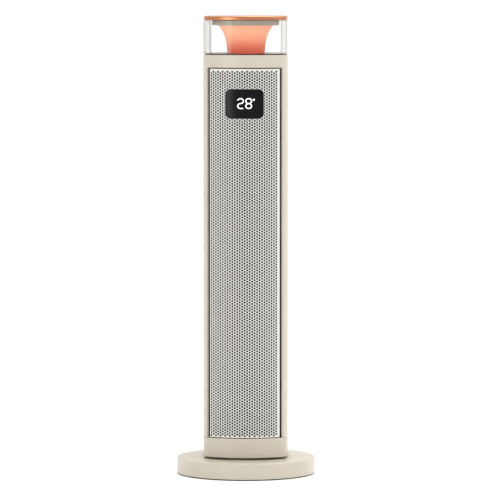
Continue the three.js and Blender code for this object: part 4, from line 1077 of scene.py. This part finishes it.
def make_rear_housing():
    """The back shell, with a recess and ledge for the filter cover and holes for the rocker and screws."""
    gap = 0.5 * MM
    ledge = 4 * MM
    border = 3 * MM  # backing left round the recess
    low = cover_bottom - gap
    high = cover_top + gap
    half = cover_half + gap
    bezel_low, bezel_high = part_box("rocker_bezel")
    bezel_side = 2 * MM
    bezel_end = 1.7 * MM
    rocker_half = bezel_high.x - bezel_side + FIT
    backing = combined(
        "INTERSECT", column_wall(SHELL_WALL - 0.5 * MM, SHELL_WALL + 2 * MM, low - border, high + border),
        block(-half - border, half + border, 0, BEYOND, 0, ABOVE),
    )
    solid = combined("UNION", column_wall(0, SHELL_WALL, shell_bottom, shell_top), backing)
    rear = block(-2 * BEYOND, 2 * BEYOND, housing_front, 2 * BEYOND, 0, ABOVE)
    solid = combined("INTERSECT", solid, rear)
    recess = combined(
        "INTERSECT", column_wall(-5 * MM, SHELL_WALL, low, high), block(-half, half, 0, BEYOND, 0, ABOVE),
    )
    holes = [
        recess,
        block(-half + ledge, half - ledge, 0, BEYOND, low + ledge, high - ledge),
        block(-rocker_half, rocker_half, 0, BEYOND, bezel_low.z + bezel_end, bezel_high.z - bezel_end),
    ]
    for i in range(1, HOUSING_SCREWS + 1):
        node = f"housing_screw_{i}"
        middle = middle_of(node)
        head_room = span(node, X)[1] - middle.x + FIT
        head_seat = span(node, Y)[1] - SCREW_HEAD - FIT
        holes.append(rod_along_y(SCREW_SHANK + FIT, 0.2 * BEYOND, BEYOND, middle.x, middle.z))
        holes.append(rod_along_y(head_room, head_seat, BEYOND, middle.x, middle.z))
    solid = combined("DIFFERENCE", solid, *holes)
    made = piece("rear_housing_shell", solid, finishes["shell"], "column", ["rear_housing"])
    soften(made, 0.45 * MM)


def back_skin(inset):
    """Places on the column's back, from x and z."""
    def at(x, z):
        return Vector((x, reach(x, inset), z))
    return at


def make_filter_cover():
    """A cover with two columns of narrow slots, each with round ends."""
    outer_inset = 0.4 * MM
    inner_inset = 2.3 * MM
    slot_half = 17.2 * MM
    slot_middle = 19.2 * MM
    slot_round = 1.5 * MM
    pitch = 6.3 * MM
    end_border = 8 * MM
    rows = int((cover_top - cover_bottom - 2 * end_border) / pitch)
    first = (cover_top + cover_bottom - (rows - 1) * pitch) / 2

    def stations():
        """Places across the cover, each with half the height that a slot has there."""
        ends = [(0, 0.0), (0.12, 0.47), (0.4, 0.8), (1, 1.0)]
        inner_half = slot_half - slot_round
        steps = 10
        rise = [(-slot_half + d * slot_round, h * slot_round) for d, h in ends]
        flat = [(-inner_half + 2 * inner_half * i / steps, slot_round) for i in range(1, steps)]
        fall = [(-x, h) for x, h in reversed(rise)]
        slot = rise + flat + fall
        border = cover_half - slot_middle - slot_half
        edge = [(-cover_half + border * i / 2, 0.0) for i in range(2)]
        left = [(x - slot_middle, h) for x, h in slot]
        right = [(x + slot_middle, h) for x, h in slot]
        return edge + left + right + [(-x, h) for x, h in reversed(edge)]

    plan = Plan()
    across = stations()
    lines = [[(x, cover_bottom) for x, _ in across]]
    for row in range(rows):
        z = first + row * pitch
        lines.append([(x, z - h) for x, h in across])
        lines.append([(x, z + h) for x, h in across])
    lines.append([(x, cover_top) for x, _ in across])
    for lower, upper in zip(lines[0::2], lines[1::2]):
        for i in range(len(across) - 1):
            plan.face(lower[i + 1], lower[i], upper[i], upper[i + 1])
    shape = plan.sheet(back_skin(outer_inset), back_skin(inner_inset))
    made = piece("filter_cover_louvres", shape, finishes["shell"], "filter_cover", ["filter_cover"])
    soften(made, 0.25 * MM, 1)


# ---------------------------------------------------------------- grille and display

GRILLE_INSET = 1.2 * MM
GRILLE_SHEET = 1.2 * MM
GRILLE_FOLD = 1.5 * MM  # outside radius of the folds to its sides
GRILLE_EASE = 1 * MM  # how far the sheet stays inside the room that the frame gives it
GRILLE_LIFT = 0.9 * MM  # dark gap between the sheet and the collar
HOLE_PITCH = 4 * MM  # up a column
HOLE_ACROSS = 3.59 * MM  # from column to column
HOLE_RADIUS = 1.6 * MM
HOLE_COLUMNS = 28
HOLE_SHIFT = -1.45 * MM  # the field of holes sits left of the middle
HOLE_BOTTOM = 0.7 * MM  # plain strip below the holes
WINDOW_CORNER = 7.3 * MM
WINDOW_RIM = 0.5 * MM  # unbroken metal round the window

# The sheet's plan: the curved face, the corner's arc, the fold, and a flat side
sheet_face = FACE_RADIUS - GRILLE_INSET
sheet_corner = CORNER_RADIUS - GRILLE_INSET
sheet_half = grille_half - GRILLE_EASE
fold_x = sheet_half - GRILLE_FOLD
fold_turn = math.asin((fold_x - corner_x) / (sheet_corner - GRILLE_FOLD))
fold_y = -corner_y - (sheet_corner - GRILLE_FOLD) * math.cos(fold_turn)
face_run = sheet_face * face_turn
corner_run = sheet_corner * (fold_turn - face_turn)
fold_run = GRILLE_FOLD * (math.pi / 2 - fold_turn)

# The field of holes
half_pitch = HOLE_PITCH / 2
sheet_bottom = grille_bottom + GRILLE_LIFT
field_bottom = sheet_bottom + HOLE_BOTTOM
hole_rows = int((grille_top - field_bottom - half_pitch) / HOLE_PITCH)
field_top = field_bottom + hole_rows * HOLE_PITCH + half_pitch
field_left = HOLE_SHIFT - HOLE_COLUMNS * HOLE_ACROSS / 2
field_right = field_left + HOLE_COLUMNS * HOLE_ACROSS


def grille_path(distance):
    """A point and its facing on the grille's outer skin, at a distance along it from the middle."""
    side = 1 if distance >= 0 else -1
    left = abs(distance)
    if left <= face_run:
        turn = left / sheet_face
        return side * sheet_face * math.sin(turn), face_centre - sheet_face * math.cos(turn), side * turn
    left -= face_run
    if left <= corner_run:
        turn = face_turn + left / sheet_corner
        x = corner_x + sheet_corner * math.sin(turn)
        return side * x, -corner_y - sheet_corner * math.cos(turn), side * turn
    left -= corner_run
    if left <= fold_run:
        turn = fold_turn + left / GRILLE_FOLD
        x = fold_x + GRILLE_FOLD * math.sin(turn)
        return side * x, fold_y - GRILLE_FOLD * math.cos(turn), side * turn
    left -= fold_run
    return side * sheet_half, fold_y + left, side * math.pi / 2


def grille_skin(depth):
    """Places on the grille at a depth behind its outer skin, from distance and z."""
    def at(distance, z):
        x, y, turn = grille_path(distance)
        return Vector((x - depth * math.sin(turn), y + depth * math.cos(turn), z))
    return at


def grown_window(grow):
    """Half the window's width and height, and its corner, with a border added."""
    return window_half + grow, (window_top - window_bottom) / 2 + grow, WINDOW_CORNER + grow


def rounded_window(grow, steps=6, spacing=1.8 * MM):
    """The window's outline in (x, z), anticlockwise, grown by a border."""
    half_x, half_z, corner = grown_window(grow)
    points = []
    for k, (cx, cz) in enumerate(((1, -1), (1, 1), (-1, 1), (-1, -1))):
        start = -math.pi / 2 + k * math.pi / 2
        for i in range(steps + 1):
            turn = start + i / steps * math.pi / 2
            points.append(Vector((
                cx * (half_x - corner) + corner * math.cos(turn),
                cz * (half_z - corner) + corner * math.sin(turn) + window_middle,
            )))
        straight = 2 * ((half_z if k % 2 == 0 else half_x) - corner)
        parts = max(1, round(straight / spacing))
        following = Vector(points[-1])
        step = Vector((-math.sin(turn), math.cos(turn))) * straight / parts
        points += [following + step * i for i in range(1, parts)]
    return points


def inside_window(x, z, grow):
    """Whether a place is inside the window's outline, grown by a border."""
    half_x, half_z, corner = grown_window(grow)
    dx = max(abs(x) - (half_x - corner), 0)
    dz = max(abs(z - window_middle) - (half_z - corner), 0)
    return math.hypot(dx, dz) < corner


def hole_cell(middle, z):
    """The eight points round a hole's cell, and the hole's octagon."""
    dx = HOLE_ACROSS / 2
    dz = half_pitch
    around = [(dx, 0), (dx, dz), (0, dz), (-dx, dz), (-dx, 0), (-dx, -dz), (0, -dz), (dx, -dz)]
    rim = [(middle + x, z + up) for x, up in around]
    hole = [(middle + x, z + up) for x, up in circle(HOLE_RADIUS, 8)]
    return rim, hole


def add_hole_column(plan, column):
    """One column of holes and the plain half cell at its end. Gives back the cells that meet the window."""
    middle = field_left + (column + 0.5) * HOLE_ACROSS
    lift = half_pitch if column % 2 else 0
    dropped = []
    for row in range(hole_rows):
        rim, hole = hole_cell(middle, field_bottom + lift + (row + 0.5) * HOLE_PITCH)
        if any(inside_window(x, z, FIT + 2 * WINDOW_RIM) for x, z in rim):
            dropped.append((rim, hole))
            continue
        for i in range(8):
            j = (i + 1) % 8
            plan.face(hole[i], rim[i], rim[j], hole[j])
    z0 = field_bottom if lift else field_top - half_pitch
    lower = [(middle + x, z0) for x in (-HOLE_ACROSS / 2, 0, HOLE_ACROSS / 2)]
    upper = [(x, z0 + half_pitch) for x, _ in reversed(lower)]
    plan.face(*lower, *upper)
    return dropped


def add_plain_metal(plan):
    """The strips round the field of holes, divided where the holes' cells meet them."""
    columns = [field_left + i * HOLE_ACROSS / 2 for i in range(2 * HOLE_COLUMNS + 1)]
    levels = [field_bottom + i * half_pitch for i in range(2 * hole_rows + 2)]
    bend = face_run + corner_run
    fold = [bend + fold_run * i / 4 for i in range(5)]
    end = bend + fold_run + grille_back - fold_y
    right_edge = [field_right, (field_right + bend) / 2, *fold, end]
    left_edge = [-d for d in reversed([*fold, end])] + [(field_left - bend) / 2, field_left]
    for z0, z1 in ((sheet_bottom, field_bottom), (field_top, grille_top)):
        for a, b in zip(columns, columns[1:]):
            plan.face((a, z0), (b, z0), (b, z1), (a, z1))
    for side in (left_edge, right_edge):
        for a, b in zip(side, side[1:]):
            for z0, z1 in zip([sheet_bottom, *levels], [*levels, grille_top]):
                plan.face((a, z0), (b, z0), (b, z1), (a, z1))


def make_grille():
    """A curved sheet with staggered rows of round holes, folded back at both sides."""
    plan = Plan()
    dropped = []
    for column in range(HOLE_COLUMNS):
        dropped += add_hole_column(plan, column)
    add_plain_metal(plan)
    add_window_surround(plan, dropped)
    shape = plan.sheet(grille_skin(0), grille_skin(GRILLE_SHEET))
    piece("front_grille_sheet", shape, finishes["grille"], "column", ["front_grille"])


def make_grille_shade_gauze():
    """Fine black gauze that lines the grille, with an opening for the display's tray: a dark sheet that
    paints the shade seen through the holes and under the sheet.
    """
    tray_low, tray_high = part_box("display_tray")
    gap = 0.5 * MM
    tray_half = tray_high.x + gap
    outward = [tray_half, 38 * MM, 42 * MM, 46 * MM, 48 * MM]
    middle = [tray_half * i / 8 for i in range(-8, 8)]
    places = [-x for x in reversed(outward[1:])] + middle + outward
    levels = [grille_bottom + 0.1 * MM, tray_low.z - gap, tray_high.z + gap, grille_top - 3 * MM]
    plan = Plan()
    for a, b in zip(places, places[1:]):
        for z0, z1 in zip(levels, levels[1:]):
            beside_tray = min(abs(a), abs(b)) >= tray_half - SLIVER
            if beside_tray or z0 != levels[1]:
                plan.face((a, z0), (b, z0), (b, z1), (a, z1))
    shape = plan.sheet(front_skin(3.6 * MM), front_skin(3.9 * MM))
    piece("grille_shade_gauze", shape, finishes["shade_lining"], "column")


def add_window_surround(plan, dropped):
    """The metal round the window. Holes that meet its rim are cut short by it."""
    rims = [rim for rim, _ in dropped]
    holes = [hole for _, hole in dropped]
    points = []
    links = []
    places = {}

    def add_outline(corners):
        """Adds a closed outline, reusing points that are there already."""
        indices = []
        for x, z in corners:
            key = (round(x * 1e7), round(z * 1e7))
            if key not in places:
                places[key] = len(points)
                points.append(Vector((x, z)))
            indices.append(places[key])
        links.extend(zip(indices, indices[1:] + indices[:1]))

    for corners in rims + holes + [rounded_window(FIT), rounded_window(FIT + WINDOW_RIM)]:
        add_outline(corners)
    net_points, _, triangles = delaunay_2d_cdt(points, links, [], 0, 1e-7)[:3]
    for triangle in triangles:
        corners = [net_points[i] for i in triangle]
        middle = sum((Vector(corner) for corner in corners), Vector((0, 0))) / len(corners)
        if inside_window(middle.x, middle.y, FIT - SLIVER):
            continue
        in_rim = inside_window(middle.x, middle.y, FIT + WINDOW_RIM)
        in_hole = not in_rim and any(inside_corners(middle, hole) for hole in holes)
        if not in_hole and any(inside_corners(middle, rim) for rim in rims):
            plan.face(*[tuple(corner) for corner in corners])


def inside_corners(point, corners):
    """Whether a point is inside a convex outline that runs anticlockwise."""
    for (ax, az), (bx, bz) in zip(corners, corners[1:] + corners[:1]):
        if (bx - ax) * (point.y - az) - (bz - az) * (point.x - ax) < 0:
            return False
    return True


def front_skin(inset):
    """Places on the column's front, from x and z."""
    def at(x, z):
        return Vector((x, -reach(x, inset), z))
    return at


def make_window():
    """The curved black window: rings of its outline drawn in towards its middle."""
    front = front_skin(0.22 * MM)
    shoulder = front_skin(0.5 * MM)
    back = front_skin(2.2 * MM)
    edge = rounded_window(0)
    centre = Vector((0, window_middle))

    def drawn_in(share):
        """The outline shrunk towards the window's middle."""
        return [centre + (point - centre) * share for point in edge]

    lip = 1 - 0.3 * MM / (window_top - window_middle)
    shares = [lip, 0.9, 0.75, 0.6, 0.45, 0.3, 0.15, 0.05]
    rings = [[back(*point) for point in drawn_in(share)] for share in reversed(shares)]
    rings += [[back(*point) for point in edge], [shoulder(*point) for point in edge]]
    rings += [[front(*point) for point in drawn_in(share)] for share in shares]
    glass = loft(rings, closed=False)
    piece("display_window_glass", glass, finishes["black_glass"], "column", ["display_window"])


# ---------------------------------------------------------------- crown, funnel and lid


def make_crown():
    """The clear wall round the funnel."""
    outside = 0.3 * MM
    inside = 8.3 * MM
    rings = column_rings([
        (outside, crown_bottom, 0.8 * MM), (outside, crown_top, 0.8 * MM),
        (inside, crown_top, 0.4 * MM), (inside, crown_bottom, 0.4 * MM),
    ])
    piece("crown_wall", loft(rings), finishes["clear"], "column", ["crown"])


def make_funnel():
    """A smooth flare: its radius follows a curve that widens towards the top."""
    radii = {  # by share of the height
        0: 26.9 * MM, 0.36: 28.5 * MM, 0.6: 30.7 * MM, 0.8: 34.2 * MM, 1: 39.7 * MM,
    }
    wall = 1.8 * MM
    steps = 26

    def radius_at(share):
        """The one smooth curve (Lagrange's) that passes through all the given radii."""
        total = 0
        for here, radius in radii.items():
            weight = 1
            for other in radii:
                if other != here:
                    weight *= (share - other) / (here - other)
            total += weight * radius
        return total

    height = funnel_top - funnel_bottom
    outer = [(radius_at(i / steps), funnel_bottom + height * i / steps) for i in range(steps + 1)]
    inner = [(radius - wall, z) for radius, z in reversed(outer)]
    rings = [ring(circle(radius), z) for radius, z in outer + inner]
    piece("funnel_flare", loft(rings), finishes["funnel"], "column", ["funnel"])


def make_lid_seat():
    """The grey plate under the lid, with a pocket for the touch board."""
    edge = 13 * MM
    deep = edge + 5 * MM
    pocket = 32.3 * MM
    floor = seat_top - 3.4 * MM
    rings = column_rings([
        (deep, seat_bottom, 0), (edge, seat_bottom, 0.8 * MM),
        (edge, seat_top, 0.5 * MM), (deep, seat_top, 0),
    ])
    rings += [ring(spokes(pocket), seat_top), ring(spokes(pocket), floor)]
    piece("lid_seat_plate", loft(rings, closed=False), finishes["grey"], "column", ["lid_seat"])


def make_deck():
    """The dark plate that the crown stands on, open in the middle for the lamps."""
    inset = 2.9 * MM
    chamfer = 0.4 * MM
    hole = 24 * MM
    rings = [
        ring(outline(inset), deck_bottom), ring(outline(inset), deck_top - chamfer),
        ring(outline(inset + chamfer), deck_top),
        ring(spokes(hole), deck_top), ring(spokes(hole), deck_bottom),
    ]
    piece("top_deck_plate", loft(rings), finishes["deck"], "column", ["top_deck"])


def make_lid():
    """The copper lid, rounded at its edges, with a chamfered pocket for the touch panel."""
    edge = 1 * MM
    deep = 12 * MM
    chamfer = 0.3 * MM
    pocket = panel_radius + FIT
    pocket_floor = panel_bottom - FIT
    rings = column_rings([
        (deep, lid_bottom, 0), (edge, lid_bottom, 1.4 * MM), (edge, lid_top, 2 * MM), (deep, lid_top, 0),
    ], 6)
    rings += [ring(spokes(pocket + chamfer), lid_top), ring(spokes(pocket), lid_top - chamfer)]
    rings += [ring(spokes(pocket), pocket_floor)]
    piece("lid_plate", loft(rings, closed=False), finishes["copper"], "column", ["lid"])


def make_touch_panel():
    """A round black panel, just below the lid's top."""
    face = lid_top - 0.1 * MM
    round_edge = 0.3 * MM
    turns = [math.pi / 2 * i / 4 for i in range(5)]
    profile = [(panel_radius, panel_bottom)] + [
        (panel_radius - round_edge * (1 - math.cos(t)), face - round_edge * (1 - math.sin(t))) for t in turns
    ]
    glass = turned_disc(profile, 96)
    piece("touch_panel_glass", glass, finishes["black_glass"], "column", ["touch_panel"])


def stroke_plan(plan, line, width, closed=False):
    """A flat stroke of a width along a line of (x, y) points."""
    count = len(line)
    path = [Vector(point) for point in line]
    pairs = []
    for i, here in enumerate(path):
        before = path[i - 1] if closed or i else here
        after = path[(i + 1) % count] if closed or i < count - 1 else here
        along = (after - before).normalized()
        side = Vector((-along.y, along.x)) * width / 2
        pairs.append((here + side, here - side))
    for i in range(count if closed else count - 1):
        (a, b), (c, d) = pairs[i], pairs[(i + 1) % count]
        plan.face(tuple(a), tuple(b), tuple(d), tuple(c))


def make_touch_marks():
    """A power sign in the middle of the panel, and a dot at each quarter."""
    plan = Plan()
    gap = math.radians(34)
    sign = 4.2 * MM
    stroke = 0.8 * MM
    dot_ring = 12.5 * MM
    turns = [math.pi / 2 + gap + (2 * math.pi - 2 * gap) * i / 40 for i in range(41)]
    stroke_plan(plan, [(sign * math.cos(t), sign * math.sin(t)) for t in turns], stroke)
    stroke_plan(plan, [(0, stroke), (0, 5.2 * MM)], stroke)
    for quarter in range(4):
        turn = quarter * math.pi / 2 + math.pi / 4
        dot = circle(0.9 * MM, 16)
        plan.face(*[(dot_ring * math.cos(turn) + x, dot_ring * math.sin(turn) + y) for x, y in dot])
    shape = plan.sheet(lambda x, y: Vector((x, y, lid_top)), lambda x, y: Vector((x, y, lid_top - 0.08 * MM)))
    piece("touch_marks", shape, finishes["marks"], "column")


# ---------------------------------------------------------------- display digits

DIGIT_WIDTH = 9.5 * MM
DIGIT_HEIGHT = 15.4 * MM
DIGIT_STROKE = 1.35 * MM
DIGIT_LIFT = 0.7 * MM  # how far the reading's middle is above the window's


def arc(centre_z, start, end, steps=18):
    """Part of an oval as wide as a digit and half as high, from one angle to another in degrees."""
    across = (DIGIT_WIDTH - DIGIT_STROKE) / 2
    up = (DIGIT_HEIGHT - DIGIT_STROKE) / 4
    turns = [math.radians(start + (end - start) * i / steps) for i in range(steps + 1)]
    return [(across * math.cos(t), centre_z + up * math.sin(t)) for t in turns]


def make_digits():
    """A two-figure reading and a degree sign, lit on the front of the window."""
    centre_z = window_middle + DIGIT_LIFT
    half = (DIGIT_HEIGHT - DIGIT_STROKE) / 4
    across = (DIGIT_WIDTH - DIGIT_STROKE) / 2
    two = arc(half, 165, -90) + arc(-half, 90, 270)[1:] + [(0.9 * across, -2 * half)]
    loops = [arc(half, 0, 360, 30)[:-1], arc(-half, 0, 360, 30)[:-1]]
    dot = circle(0.75 * MM, 24)
    signs = {  # name: x, how far up, lines, whether they close, stroke
        "digit_tens": (-5.5 * MM, 0, [two], False, DIGIT_STROKE),
        "digit_units": (6.1 * MM, 0, loops, True, DIGIT_STROKE),
        "degree_sign": (13.3 * MM, 5.4 * MM, [dot], True, 1.3 * MM),
    }
    front = front_skin(0.12 * MM)
    back = front_skin(0.24 * MM)
    for name, (x, up, lines, closed, width) in signs.items():
        strokes = []
        for line in lines:
            plan = Plan()
            stroke_plan(plan, [(x + dx, centre_z + up + dz) for dx, dz in line], width, closed)
            strokes.append(plan.sheet(front, back))
        piece(name, merged(*strokes), finishes["digits"], "column")


# ---------------------------------------------------------------- finishes of the CAD nodes that are shown

NODE_FINISHES = {
    "base_plate": "dark", "ballast_ring": "cast_iron", "glide_ring": "white", "swing_gear_cup": "white",
    "tip_switch": "dark", "tip_plunger": "dark", "turntable": "dark", "spindle_clip": "steel",
    "swing_pinion": "white", "swing_motor": "steel", "filter_mesh": "gauze", "display_tray": "dark",
    "display_board": "board", "led_board": "board", "touch_board": "board", "lower_bulkhead": "dark",
    "upper_bulkhead": "dark", "impeller": "dark", "motor_shaft": "steel", "impeller_pin": "steel",
    "fan_motor": "steel", "upper_bush": "rubber", "scroll_guide": "dark", "scroll_tongue": "dark",
    "heater_frame": "ceramic", "fin_bank_1": "aluminium", "fin_bank_2": "aluminium",
    "fin_bank_3": "aluminium", "ceramic_bar_1": "ceramic", "ceramic_bar_2": "ceramic",
    "thermal_cutout": "dark", "control_board": "board", "rocker_bezel": "dark", "power_rocker": "dark",
}
SOFT_NODES = {
    "base_plate": 0.4 * MM, "turntable": 0.4 * MM, "rocker_bezel": 0.5 * MM, "power_rocker": 0.5 * MM,
}


def dress_nodes():
    """Gives each shown node its finish, and some of them softer edges."""
    for name, finish in NODE_FINISHES.items():
        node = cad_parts[name]
        node.data.materials.clear()
        node.data.materials.append(finishes[finish])
        if name in SOFT_NODES:
            weld = node.modifiers.new("weld", "WELD")
            weld.merge_threshold = 0.002 * MM
            soften(node, SOFT_NODES[name])


# ---------------------------------------------------------------- assembly

make_camera()
make_studio()
make_base_cover()
make_cord_gland()
for number in range(1, FEET + 1):
    make_foot(f"rubber_foot_{number}")
make_screws()
make_collar()
make_front_frame()
make_rear_housing()
make_filter_cover()
make_grille()
make_grille_shade_gauze()
make_window()
make_digits()
make_crown()
make_funnel()
make_lid_seat()
make_deck()
make_lid()
make_touch_panel()
make_touch_marks()
dress_nodes()
for made in shown:
    steady_normals(made)
